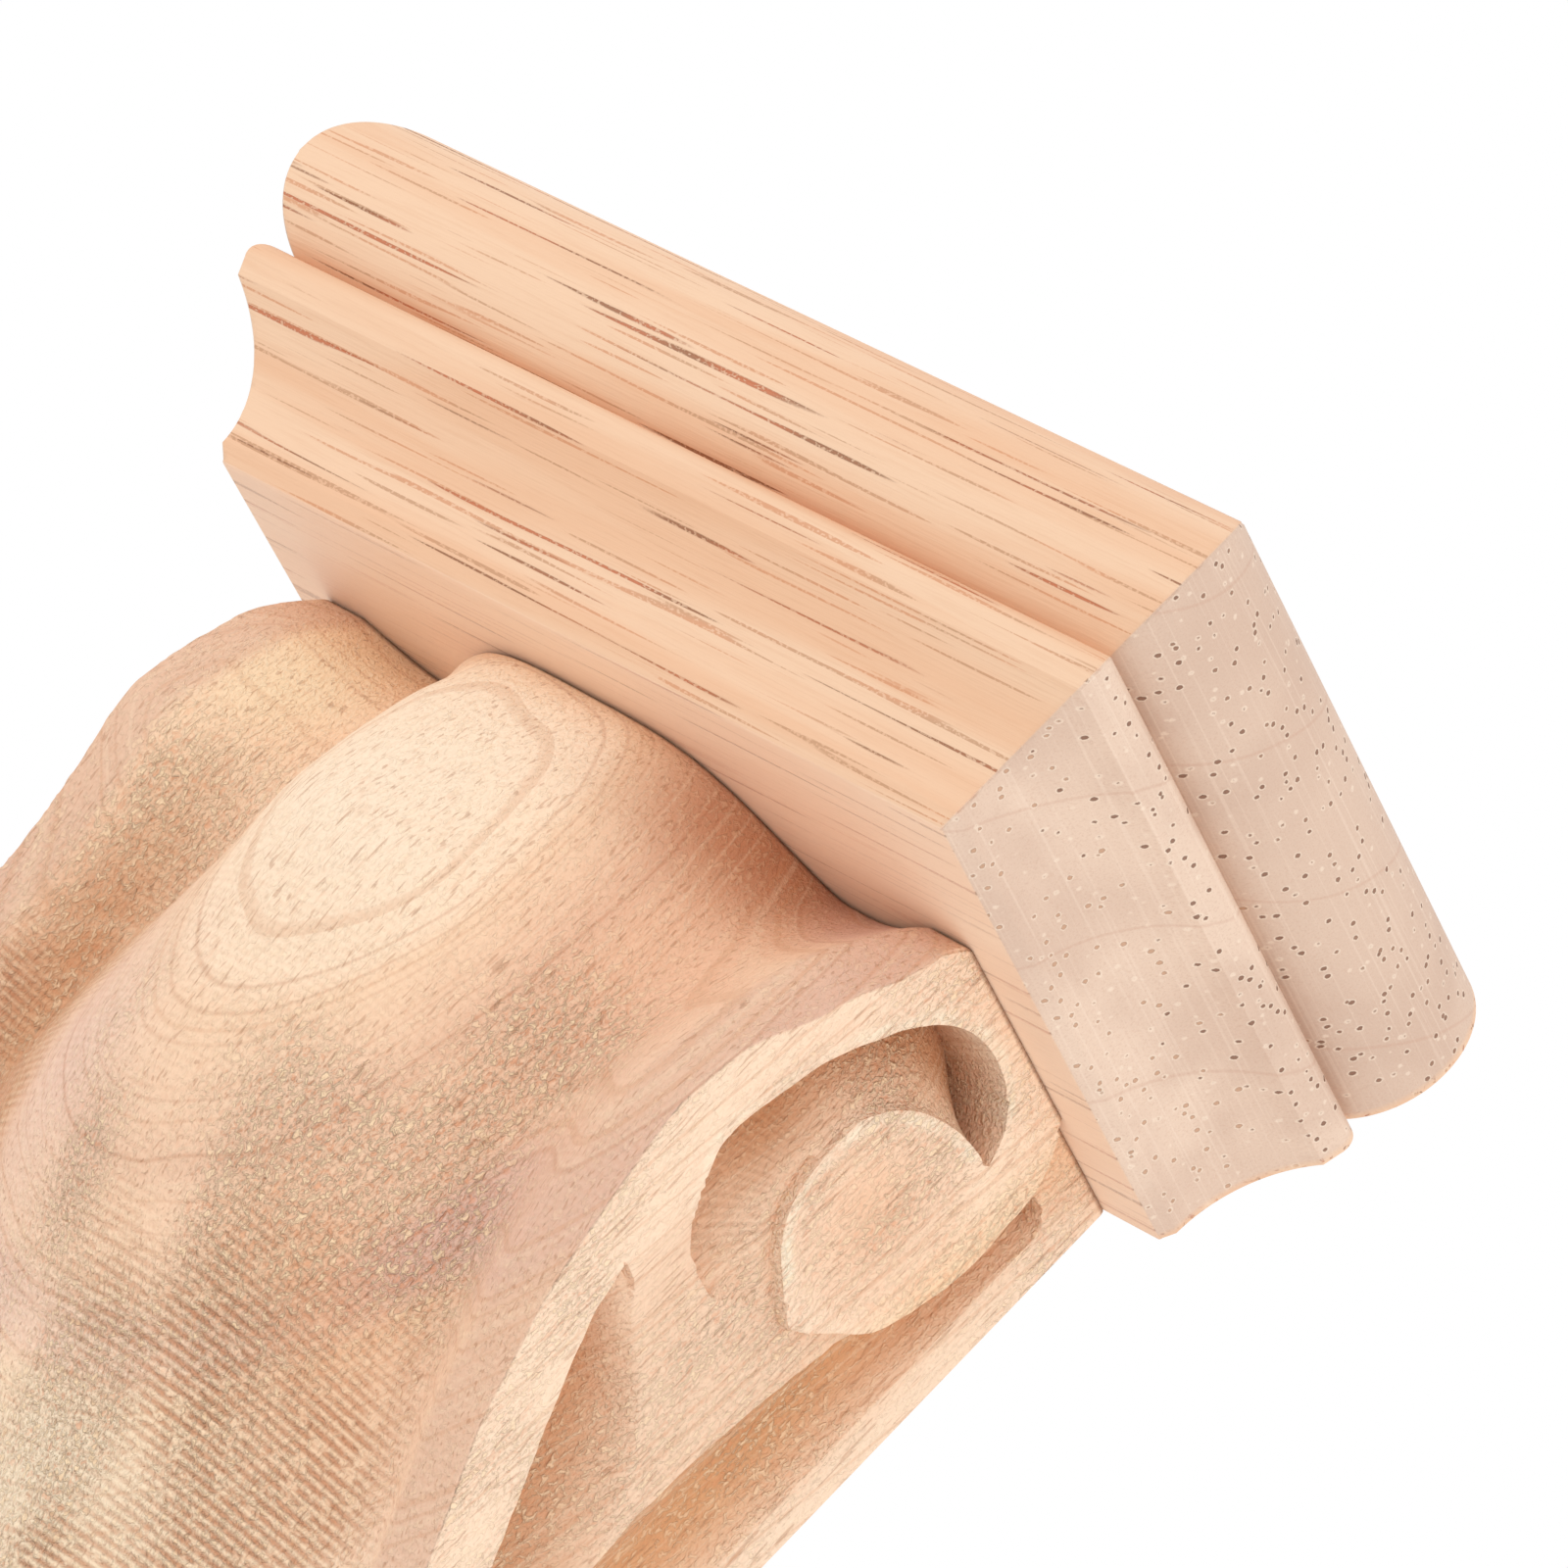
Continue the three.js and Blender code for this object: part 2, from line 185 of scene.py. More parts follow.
# %% [markdown]
# ## The front of the body
# Across the front there is a flat strip at each edge, a hollow beside it, and the crowned tongue
# in the middle. One formula of (x, w) gives the whole relief. The scroll was carved a little
# askew: on the left it turns over higher up than on the right, and the tongue's neck is narrower
# there. The cutter ran across in close passes, and the ridges that it left are real relief too.

# %% Sizes of the front's relief
STRIP_WIDTH = 2.5
HOLLOW_CUT = 2.2
LEAST_HOLLOW = 0.45
CRISP_TO = 18.0
LEFT_START, LEFT_GAIN = 1.5, 0.33
SKEW_FROM, SKEW_TO = 14.0, 28.0
SHOULDER_FALL = 1.1
SHOULDER = (4.0, 7.0, 5.0)
TONGUE_HALF = 13.8
TONGUE_SPREAD = 3.2
TONGUE_RISE = 4.4
TONGUE_LEFT = 0.9
LEAST_TONGUE = 0.3
NOSE_FALL = 0.9
NOSE = (5.0, 9.0, 9.0)
NECK_CUT = 2.2
NECK = (3.0, 11.0, 10.0)
NECK_EDGE, NECK_EASE = 2.0, 6.0
RELIEF_FADES = (0.42, 0.5)
CROWN_INNER, CROWN_OUTER = (4.0, 2.4), (2.2, 1.3)
PANEL_CUT = 0.8
PANEL_EASE, PANEL_FADE = 1.6, 3.0
print("the tongue stands", TONGUE_RISE, "mm over the strips, the hollows", HOLLOW_CUT, "mm under them")


# %% Front relief
def band_out(x, w):
    """Out from the wall on the band at x: its profile, read further down towards the left.

    The skew runs out between SKEW_FROM and SKEW_TO, and the right arris is soft near the top.
    """
    left_share = (HALF_BODY - x) / (2.0 * HALF_BODY)
    skew = 1.0 - smooth((w - SKEW_FROM) / (SKEW_TO - SKEW_FROM))
    lift = (LEFT_START + LEFT_GAIN * w) * left_share * skew
    at_arris = smooth((x - HALF_BODY + STRIP_WIDTH) / STRIP_WIDTH)
    return along(BAND_FRONT, w + lift) - SHOULDER_FALL * swell(w, *SHOULDER) * at_arris


def front_out(x, w):
    """Out from the wall at x, w below the joint.

    The band's own profile, less the hollow's cut, plus a crown that falls from its crest as one
    less a power of the share of the half width. The lower roll has a sunk panel instead.
    """
    side = np.abs(x)
    strip_edge = HALF_BODY - STRIP_WIDTH
    down = np.clip(w / CREASE, 0.0, 1.0)
    fade = 1.0 - smooth((down - RELIEF_FADES[0]) / RELIEF_FADES[1])
    from_crest = np.abs(x + TONGUE_LEFT * (1.0 - smooth(down / 0.5)))
    neck = swell(w, *NECK) * smooth((NECK_EDGE - x) / NECK_EASE)
    widest = np.minimum(TONGUE_HALF + TONGUE_SPREAD * smooth((down - 0.2) / 0.4), strip_edge - 1.5)
    valley = widest - NECK_CUT * neck
    cut = HOLLOW_CUT * mix(LEAST_HOLLOW, 1.0, fade)
    band = band_out(x, w)
    share = np.clip((strip_edge - side) / (strip_edge - valley), 0.0, 1.0)
    strip = band - cut * mix(np.sin(share * np.pi / 2), smooth(share), smooth(w / CRISP_TO))
    lower = smooth(down / 0.35)
    flank = np.maximum(1.0 - (from_crest / valley) ** mix(*CROWN_INNER, lower), 0.0)
    crown = flank ** mix(*CROWN_OUTER, lower)
    rise = TONGUE_RISE - NOSE_FALL * swell(w, *NOSE)
    tongue = band - cut + (cut + rise) * crown * mix(LEAST_TONGUE, 1.0, fade)
    scroll = np.where(from_crest >= valley, strip, tongue)
    panel = smooth((strip_edge - side) / PANEL_EASE) * smooth((roll_front(w) - ROLL_OUT) / PANEL_FADE)
    return np.where(w > CREASE, roll_front(w) - PANEL_CUT * panel, scroll)


probe = front_out(np.array([0.0, 14.0, 20.0]), np.array([10.0, 10.0, 10.0]))
print("crown, hollow and strip stand out", probe.round(2), "mm")

# %% [markdown]
# ## The sides of the body
# Each side is a relief too: how deep the wood is cut in from the scroll band's face, as a
# function of the distance out from the wall and down from the joint. The cuts are taken one by
# one, as the carver would, and the deepest wins: the sunk ground behind the band, the volute's
# channel, the dart, the long cove at the back and the lower trough.

# %% Sizes of the side's relief
FIELD_CUT = 0.7
VOLUTE_CUT, LOWER_VOLUTE_CUT = 3.9, 2.2
DART_CUT, TROUGH_CUT, GROOVE_CUT = 3.4, 2.7, 2.4
BACK_STRIP = 2.1
CHANNEL_FROM, CHANNEL_TO = 62, 282
LEAST_CHANNEL = 0.2
CHANNEL_RIM = 0.3
MELT_TURN = 45.0
UPPER_MELTS, LOWER_MELTS = 232.0, 230.0
UNDER_FROM, EYE_ENDS, BACK_STARTS, BACK_ENDS = 200, 262, 278, 427
COVERED_TO = 422
FIELD_TOP, FIELD_ENDS, BAND_ENDS = 21, 34, 66
GROUND_FADE_OUT, GROUND_FADE = 20.4, 4.0
DART_TOP = 21.2
DART_WALL = 0.22
DART_LIP = 0.5
COVE_TOP, COVE_ENDS = 4.0, 62
COVE_TOP_OUT, COVE_TOP_ROUND = 3.3, 1.25
print("deepest cuts: volute", VOLUTE_CUT, "dart", DART_CUT, "trough", TROUGH_CUT, "groove", GROOVE_CUT)


# %% The volute's channel and rim
def volute_cut(u, w, centre, turn, scale, full, soft_from):
    """Depth of a volute's channel: a slope that falls from the eye's rim to the outer wall.

    Worked out in polar form round the centre. Past soft_from degrees the wall melts away.
    """
    du, dw = (centre[1] - u) / scale, (centre[0] - w) / scale
    r = np.hypot(du, dw)
    angle = (np.degrees(np.arctan2(dw, du)) - turn) % 360.0
    outer = along(CHANNEL_OUTER, angle)
    eye = np.minimum(along(EYE_EDGE, angle), outer - LEAST_CHANNEL)
    t = (r - eye) / (outer - eye)
    inside = (angle > CHANNEL_FROM) & (angle < CHANNEL_TO) & (t > 0) & (t < 1)
    floor = mix(CHANNEL_RIM, full * along(CHANNEL_DEPTH, angle), np.clip(t, 0, 1) ** 0.85)
    melt = smooth((angle - soft_from) / MELT_TURN) * smooth((t - 0.45) / 0.55)
    return np.where(inside, floor * (1.0 - melt), 0.0), angle, r


def rim_radius(turn):
    """Radius of the raised volute's rim: the eye's edge, then a short bridge, then the back edge."""
    bridge_ends = [along(EYE_EDGE, float(EYE_ENDS)), along(VOLUTE_BACK, float(BACK_STARTS))]
    bridge = np.interp(turn, [EYE_ENDS, BACK_STARTS], bridge_ends)
    eye = along(EYE_EDGE, np.clip(turn, CHANNEL_FROM, EYE_ENDS))
    back = along(VOLUTE_BACK, np.clip(turn, BACK_STARTS, BACK_ENDS))
    return np.where(turn < EYE_ENDS, eye, np.where(turn < BACK_STARTS, bridge, back))


print("rim radius at the top and the back", rim_radius(np.array([90.0, 360.0])).round(2), "mm")


# %% The ground, the dart and the cove
def ground_cut(u, w, band, turn, past_rim):
    """The sunk ground behind the band and the volute, which melts away forwards under the rim."""
    melted = FIELD_CUT * smooth((GROUND_FADE_OUT - u) / GROUND_FADE)
    sunk = mix(melted, FIELD_CUT, smooth((w - FIELD_TOP) / 2.5))
    below = (w > FIELD_TOP) & (u < band) & (w < BAND_ENDS)
    under = (turn > UNDER_FROM) & (turn <= EYE_ENDS) & past_rim & (w <= FIELD_TOP)
    behind = (turn > EYE_ENDS) & (turn < BACK_ENDS) & past_rim & (w < FIELD_TOP)
    ground = np.where(below, sunk, np.where(under, melted, 0.0))
    return np.where(behind, FIELD_CUT, ground)


def dart_cut(u, w, band, field, ridge):
    """The dart: a steep wall below the band, then a floor that climbs to the field's edge."""
    share = (band - u) / np.maximum(band - field, 1e-6)
    deepest = mix(DART_CUT, TROUGH_CUT, smooth((w - 27) / 7.0))
    valley = mix(FIELD_CUT, deepest, smooth((w - FIELD_TOP) / 4.0))
    wall = mix(valley - DART_LIP, valley, share / DART_WALL)
    floor = mix(valley, ridge, np.clip((share - DART_WALL) / (1.0 - DART_WALL), 0, 1) ** 1.15)
    inside = (w > DART_TOP) & (w < FIELD_ENDS) & (share > 0) & (share < 1)
    return np.where(inside, np.where(share < DART_WALL, wall, floor), 0.0)


def cove_cut(u, w, band, ridge):
    """The long cove beside the back strip: a power of a half sine wave, flat in the lower trough."""
    full = mix(GROOVE_CUT, TROUGH_CUT, smooth((w - 30) / 5.0))
    full = mix(full, FIELD_CUT, smooth((w - 53) / 9.0))
    field_back = along(FIELD_BACK, np.minimum(w, FIELD_ENDS))
    cove_end = mix(field_back, band, smooth((w - FIELD_ENDS) / 10.0))
    t = np.clip((u - BACK_STRIP) / (cove_end - BACK_STRIP), 0.0, 1.0)
    cove = mix(FIELD_CUT, np.minimum(ridge, full), t) + (full - FIELD_CUT) * np.sin(np.pi * t) ** 0.75
    cove = np.minimum(cove, full)
    top_round = np.hypot(u - COVE_TOP_OUT, np.maximum(COVE_TOP - w, 0.0)) < COVE_TOP_ROUND
    in_cove = (t > 0) & (t < 1) & (w < COVE_ENDS) & ((w > COVE_TOP) | top_round)
    flat = (w >= FIELD_ENDS) & (w < COVE_ENDS) & (u >= cove_end) & (u < band)
    return np.where(in_cove, cove, np.where(flat, full, 0.0))


def side_cut(u, w):
    """How deep the side is cut in at u out from the wall and w below the joint: the deepest cut."""
    channel, angle, r = volute_cut(u, w, VOLUTE_AT, 0.0, 1.0, VOLUTE_CUT, UPPER_MELTS)
    lower, _, _ = volute_cut(u, w, LOWER_AT, LOWER_TURN, LOWER_SCALE, LOWER_VOLUTE_CUT, LOWER_MELTS)
    turn = np.where(angle < 90, angle + 360, angle)
    rim = rim_radius(turn)
    band, field = along(BAND_BACK, w), along(FIELD_FRONT, w)
    ridge = mix(FIELD_CUT, TROUGH_CUT, smooth((w - 29) / 5.0))
    ground = ground_cut(u, w, band, turn, r > rim)
    dart = dart_cut(u, w, band, field, ridge)
    cove = cove_cut(u, w, band, ridge)
    cut = np.maximum.reduce([channel, lower, ground, dart, cove])
    on_volute = (turn > EYE_ENDS) & (turn < COVERED_TO) & (r < rim) & (w < FIELD_TOP)
    return np.where(on_volute, np.where(cut == lower, cut, 0.0), cut)


sample = side_cut(np.array([18.5, 13.0, 4.0]), np.array([9.0, 20.0, 20.0]))
print("cut in the channel, field and cove", sample.round(2), "mm")

# %% [markdown]
# ## One skin round each piece
# Both pieces are blocks that stand against the wall, so one net of vertices can wrap each: every
# row is a closed loop at one level, from the wall along one side, across the front and back to
# the wall. A flat face closes the net above and below. A net that can't gape is the easy way to
# keep a solid closed, and its points can still be moved about freely inside it.


# %% Closed skin
def wrap_mesh(name, net):
    """A closed mesh from a (rows, columns, 3) net in millimetres, each row one closed loop.

    Each four neighbours make two triangles, split along the shorter diagonal, so that a carved
    edge that runs aslant stays clean. One flat face closes each end.
    """
    rows, columns, _ = net.shape
    ids = np.arange(rows * columns).reshape(rows, columns)
    points, there = net.reshape(-1, 3), np.roll(ids, -1, axis=1)
    a, b, c, d = (part.ravel() for part in (ids[:-1], ids[1:], there[1:], there[:-1]))
    one_way = np.linalg.norm(points[a] - points[c], axis=1)
    other_way = np.linalg.norm(points[b] - points[d], axis=1)
    first_way = one_way <= other_way
    ends = np.where(first_way, c, d)
    starts = np.where(first_way, a, b)
    halves = np.vstack([np.column_stack([a, b, ends]), np.column_stack([starts, c, d])])
    faces = halves.tolist() + [ids[0].tolist(), ids[-1][::-1].tolist()]
    mesh = bpy.data.meshes.new(name)
    mesh.from_pydata((points * MM).tolist(), [], faces)
    mesh.update()
    piece = bpy.data.objects.new(name, mesh)
    bpy.context.scene.collection.objects.link(piece)
    return piece


# %% Outward faces and stored values
SHARP_DEGREES = 38


def face_out(piece):
    """Turns the faces outwards if the volume is negative, then keeps sharp the steep edges.

    The volume is a sixth of the sum of each triangle's a dot (b cross c).
    """
    mesh = piece.data
    mesh.calc_loop_triangles()
    points = np.empty(len(mesh.vertices) * 3)
    mesh.vertices.foreach_get("co", points)
    points = points.reshape(-1, 3)
    corners = np.empty(len(mesh.loop_triangles) * 3, int)
    mesh.loop_triangles.foreach_get("vertices", corners)
    a, b, c = (points[corners.reshape(-1, 3)[:, k]] for k in range(3))
    volume = np.einsum("ij,ij->i", a, np.cross(b, c)).sum() / 6.0
    if volume < 0:
        mesh.flip_normals()
    mesh.polygons.foreach_set("use_smooth", np.ones(len(mesh.polygons), bool))
    mesh.set_sharp_from_angle(angle=np.radians(SHARP_DEGREES))
    print(piece.name, len(mesh.loop_triangles), "triangles,", round(abs(volume) * 1e6, 2), "ml")


def give(piece, name, values):
    """Stores one number, or one colour of three, for each vertex."""
    if values.shape[-1] == 3 and values.ndim > 1:
        flat = values.reshape(-1, 3)
        layer = piece.data.color_attributes.new(name, "FLOAT_COLOR", "POINT")
        layer.data.foreach_set("color", np.column_stack([flat, np.ones(len(flat))]).ravel())
    else:
        layer = piece.data.attributes.new(name, "FLOAT", "POINT")
        layer.data.foreach_set("value", values.ravel())


# %% [markdown]
# ## Crisp carved edges
# A square net would turn a carved edge that runs aslant into a row of steps. So each point that
# lies within one step of such an edge is first slid square to it, on to a line just inside or
# just outside. The wall of the cut then stands between those two lines, clean and steep.

# %% Sliding net points on to carved edges
EDGE_MARGIN = 1.0
REACH_SHARE = 1.02


def to_edge(u, w, edge, step_u, step_w, gap):
    """Slides the points near a polyline edge to a distance of gap from it, each on its own side.

    A point moves if it is nearer than the share of a net step that lies square to the edge.
    """
    start, run = edge[:-1], np.diff(edge, axis=0)
    length = np.hypot(*run.T)
    normal = np.column_stack([-run[:, 1], run[:, 0]]) / length[:, None]
    low, high = edge.min(axis=0) - EDGE_MARGIN, edge.max(axis=0) + EDGE_MARGIN
    near = (u > low[0]) & (u < high[0]) & (w > low[1]) & (w < high[1])
    points = np.column_stack([u[near], w[near]])
    toward = points[:, None, :] - start[None]
    share = np.clip((toward * run).sum(-1) / length**2, 0.0, 1.0)
    foot = start[None] + share[..., None] * run[None]
    gone = np.linalg.norm(points[:, None, :] - foot, axis=-1)
    best = gone.argmin(axis=1)
    pick = np.arange(len(points))
    nearest, across = foot[pick, best], normal[best]
    off = ((points - nearest) * across).sum(-1)
    before = (best == 0) & (share[pick, best] <= 0)
    beyond = (best == len(run) - 1) & (share[pick, best] >= 1)
    reach = np.maximum(np.abs(across[:, 0]) * step_u[near], np.abs(across[:, 1]) * step_w[near])
    moves = (gone[pick, best] < reach * REACH_SHARE) & ~(before | beyond)
    side = np.where(off < 0, -1.0, 1.0)
    moved = np.where(moves[:, None], nearest + across * (side * gap)[:, None], points)
    u, w = u.copy(), w.copy()
    u[near], w[near] = moved.T
    return u, w


# %% The carved edges of a side
EDGE_GAP, FIELD_GAP = 0.05, 0.04


def round_volute(degrees, radius, centre=VOLUTE_AT, turn=0.0, scale=1.0):
    """Points at these radii and angles round a volute's centre, as (out from the wall, below)."""
    angle = np.radians(degrees + turn)
    r = radius * scale
    return np.column_stack([centre[1] - r * np.cos(angle), centre[0] - r * np.sin(angle)])


def down_side(table, first, last, count):
    """Points on a table's curve between two levels, as (out from the wall, below the joint)."""
    below = np.linspace(first, last, count)
    return np.column_stack([along(table, below), below])


wall_turns = np.linspace(63, 215, 90)
lower_turns = np.linspace(63, 262, 90)
rim_turns = np.linspace(66, 424, 240)
lower_wall = round_volute(lower_turns, along(CHANNEL_OUTER, lower_turns), LOWER_AT, LOWER_TURN, LOWER_SCALE)
CARVED_EDGES = [
    (round_volute(wall_turns, along(CHANNEL_OUTER, wall_turns)), EDGE_GAP),
    (round_volute(rim_turns, rim_radius(rim_turns)), EDGE_GAP),
    (down_side(BAND_BACK, 21.3, 61.5, 90), EDGE_GAP),
    (down_side(FIELD_FRONT, 22.4, 33.5, 40), FIELD_GAP),
    (down_side(FIELD_BACK, 15.2, 33.0, 50), FIELD_GAP),
    (lower_wall, EDGE_GAP),
]
print(len(CARVED_EDGES), "carved edges on each side")

# %% [markdown]
# ## The body's net
# The rows are close where the cutter's ridges show, three to a ridge, and wider on the plain
# lower part. The first columns of a side lie on its plain back strip, and the first column of
# the front turns the corner in a very small round, because even a sharp wooden arris catches
# the light.

# %% Rows and columns
RIDGE = 0.44
RIDGE_FROM, RIDGE_TO = 16.0, 44.0
UPPER_STEP, LOWER_STEP = 0.26, 0.7
ROLL_ROWS = 28
ARRIS = 0.16
SIDE_COLUMNS, FRONT_COLUMNS = 66, 161
STRIP_LINES = np.array([0.0, 0.75, 1.5, BACK_STRIP - 0.06])
crease_turn = np.arcsin((CREASE - ROLL_AT) / ROLL_RADIUS)
roll_turns = np.linspace(crease_turn, np.pi / 2, ROLL_ROWS)[1:]
row_levels = np.concatenate([
    [0.0, 0.1], np.arange(0.3, RIDGE_FROM - 0.1, UPPER_STEP),
    np.arange(RIDGE_FROM, RIDGE_TO, RIDGE / 3),
    np.arange(RIDGE_TO + 0.4, CREASE - 0.2, LOWER_STEP), [CREASE],
    ROLL_AT + ROLL_RADIUS * np.sin(roll_turns),
])
print(len(row_levels), "rows down the body")


# %% The sides' nets
def edge_out(w, side):
    """Out from the wall along the front corner of the band and of the roll, on side 1 or -1."""
    return np.where(w > CREASE, roll_front(w), band_out(side * HALF_BODY, w))


def side_net(levels_down, side):
    """(u, w) of a side's net before any carving: the back strip, then even steps to the front."""
    front_edge = edge_out(levels_down, side)[:, None] - ARRIS
    strip = np.minimum(STRIP_LINES[None], front_edge)
    share = np.linspace(0.0, 1.0, SIDE_COLUMNS)[None]
    u = np.hstack([strip, mix(BACK_STRIP + 0.06, front_edge, share)])
    return u, np.broadcast_to(levels_down[:, None], u.shape).copy()


def from_volute(u, w):
    """Distance from the volute's centre on the side's face."""
    return np.hypot(u - VOLUTE_OUT, w - VOLUTE_BELOW)


def carved_side(side):
    """A side's net as (x, y, w), slid to the carved edges and cut in, and how torn its grain is.

    The cut is side_cut, plus rough noise that grows with the torn grain, plus a low dome's fall
    from the middle of the eye.
    """
    u, w = side_net(row_levels, side)
    step_w = np.broadcast_to(np.gradient(row_levels)[:, None], u.shape)
    step_u = np.gradient(u, axis=1)
    inner = (slice(2, -2), slice(4, -2))
    for edge, gap in CARVED_EDGES:
        u[inner], w[inner] = to_edge(u[inner], w[inner], edge, step_u[inner], step_w[inner], gap)
    in_eye = smooth((5.6 - from_volute(u, w)) / 1.2)
    torn = np.clip(0.30 + 0.4 * grain(u, w, 0.4, 0.3, 20) + 0.25 * in_eye, 0.10, 1.0)
    rough = 0.05 * grain(u, w, 2.2, 1.3, 40, shift=7) + 0.09 * grain(u, w, 0.9, 0.6, 44)
    rough = np.abs(rough) * (0.4 + torn) * smooth(w / 1.5) * (u > BACK_STRIP + 0.2)
    dome = 0.25 * smooth(from_volute(u, w) / 5.5) * in_eye
    return np.stack([side * (HALF_BODY - side_cut(u, w) - rough - dome), -u, w], axis=-1), torn


right, torn_right = carved_side(1.0)
left, torn_left = carved_side(-1.0)
print("side nets", right.shape, "deepest cut", (HALF_BODY - np.abs(right[..., 0])).max().round(2), "mm")

# %% [markdown]
# ## Torn grain and cutter ridges
# The tongue's nose is smooth and pale, because the cutter met one growth ring there almost flat.
# Round it the cutter left fine ridges across, and where it ran against the grain it tore the
# fibres up. Both are strongest in patches, so each is a strength from 0 to 1 that moves the
# surface here and colours it later.

# %% The pith line
PITH_X, PITH_OUT, PITH_LEAN = -2.9, 63.0, 0.122
OVAL_SHELL, OVAL_EASE = 38.6, 1.6


def growth_shell(x, u, w):
    """Distance from the pith line, which stands out in front of the piece and leans with w."""
    return np.hypot(x - PITH_X, PITH_OUT - u) + PITH_LEAN * w


print("the nose's growth ring has a radius of about", OVAL_SHELL, "mm")


# %% How strong the ridges and the torn grain are
def ridge_strength(x, w):
    """0 to 1: strongest low on the right of the tongue and in the left hollow, in broken patches."""
    low_right = smooth((w - 24) / 10.0) * smooth((x + 4) / 8.0) * smooth((17.5 - x) / 4.0)
    left_hollow = smooth((w - 12) / 8.0) * smooth((-9 - x) / 3.0) * smooth((x + 20) / 3.0)
    patch = 0.55 + 0.75 * grain(x, w, 0.28, 0.2, 0, shift=5)
    return np.clip((low_right + 0.7 * left_hollow) * patch + 0.12, 0.0, 1.0) * smooth((w - 10) / 8.0)


def torn_strength(x, w):
    """0 to 1: how rough the fibres stand on the front, by soft patches along the grain.

    Inside the nose's pale oval the wood is smooth.
    """
    outside_oval = smooth((growth_shell(x, front_out(x, w), w) - OVAL_SHELL) / OVAL_EASE)
    flank = smooth((w - 8) / 9.0) * smooth((x + 9) / 7.0) * smooth((18 - x) / 5.0)
    hollow = smooth((w - 6) / 8.0) * smooth((-10 - x) / 4.0)
    patch = 0.6 + 0.8 * grain(x, w, 0.35, 0.16, 9)
    return np.clip(0.12 + (flank + 0.7 * hollow) * patch * outside_oval, 0.0, 1.0)


# %% The front's net
RIDGE_DEPTH, RIDGE_MORE = 0.05, 0.07
TORN_DEPTH = 0.10
across = np.linspace(HALF_BODY - ARRIS, -HALF_BODY + ARRIS, FRONT_COLUMNS)
nearest_strip = np.abs(across - (HALF_BODY - STRIP_WIDTH)).argmin()
across[nearest_strip] = HALF_BODY - STRIP_WIDTH
across[FRONT_COLUMNS - 1 - nearest_strip] = -(HALF_BODY - STRIP_WIDTH)
front_x, front_w = np.meshgrid(across, row_levels)
ridges = ridge_strength(front_x, front_w)
torn_front = torn_strength(front_x, front_w)
wave = 0.5 - 0.5 * np.cos(2 * np.pi * (front_w - RIDGE_FROM) / RIDGE)
break_up = 0.5 + 0.5 * grain(front_x, front_w, 2.6, 1.0 / RIDGE, 0)
ridge_cut = ridges * (RIDGE_DEPTH + RIDGE_MORE * break_up) * wave * (front_w < RIDGE_TO)
torn_cut = TORN_DEPTH * torn_front * np.abs(grain(front_x, front_w, 3.1, 2.0, 3))
front_net = np.stack([front_x, ridge_cut + torn_cut - front_out(front_x, front_w), front_w], axis=-1)
print("ridges over", (ridges > 0.4).mean().round(2), "of the front")

# %% Body piece
CORNER_SHARE = 0.3
JOINT_INSET = (0.16, 0.05)
nick = 0.06 * np.abs(grain(row_levels, row_levels, 1.9, 0.0, 60))


def front_corner(side):
    """The one column of points on the front arris, a little inside the sharp corner."""
    x = side * (HALF_BODY - CORNER_SHARE * ARRIS - nick)
    y = nick + CORNER_SHARE * ARRIS - edge_out(row_levels, side)
    return np.stack([x, y, row_levels], axis=-1)[:, None]


body_net = np.concatenate([right, front_corner(1.0), front_net, front_corner(-1.0), left[:, ::-1]], axis=1)
for row, inset in enumerate(JOINT_INSET):
    body_net[row, :, 0] -= np.sign(body_net[row, :, 0]) * inset
    body_net[row, :, 1] = np.minimum(body_net[row, :, 1] + inset * (body_net[row, :, 1] < -0.3), 0.0)
body_below = body_net[..., 2].copy()
body_net[..., 2] = JOINT_Z - body_net[..., 2] * (BODY_TALL / DRAWN_TALL)
body = wrap_mesh("carved_scroll_body", body_net)
face_out(body)

# %% [markdown]
# ## The cap
# The cap's moulding is one profile that runs along both sides and across the front, mitred at
# the corners: a cove, a lip, a small step and a bullnose. Each point of the profile becomes a
# closed row at its own height and its own distance out, so the same skin serves here too.

# %% Cap profile
BULLNOSE_RADIUS, BULLNOSE_REACH = 4.95, 0.45
COVE_RADIUS, COVE_FOOT, COVE_SWEEP = 7.7, 0.4, 57.0
LIP_OUT, LIP_HEIGHT = 4.25, 7.4
LEDGE_OUT, LEDGE_HEIGHT = 3.05, 9.0
LIP_ROUND, LIP_DROP = 0.62, 0.92
NOSE_LIFT = 0.25
CAP_TALL = CAP_HIGH[2] - CAP_LOW[2]


def arc(out_at, height_at, radius, turns):
    """Points of a circle, as (out, height), at these angles up from straight out."""
    return np.column_stack([out_at + radius * np.cos(turns), height_at + radius * np.sin(turns)])


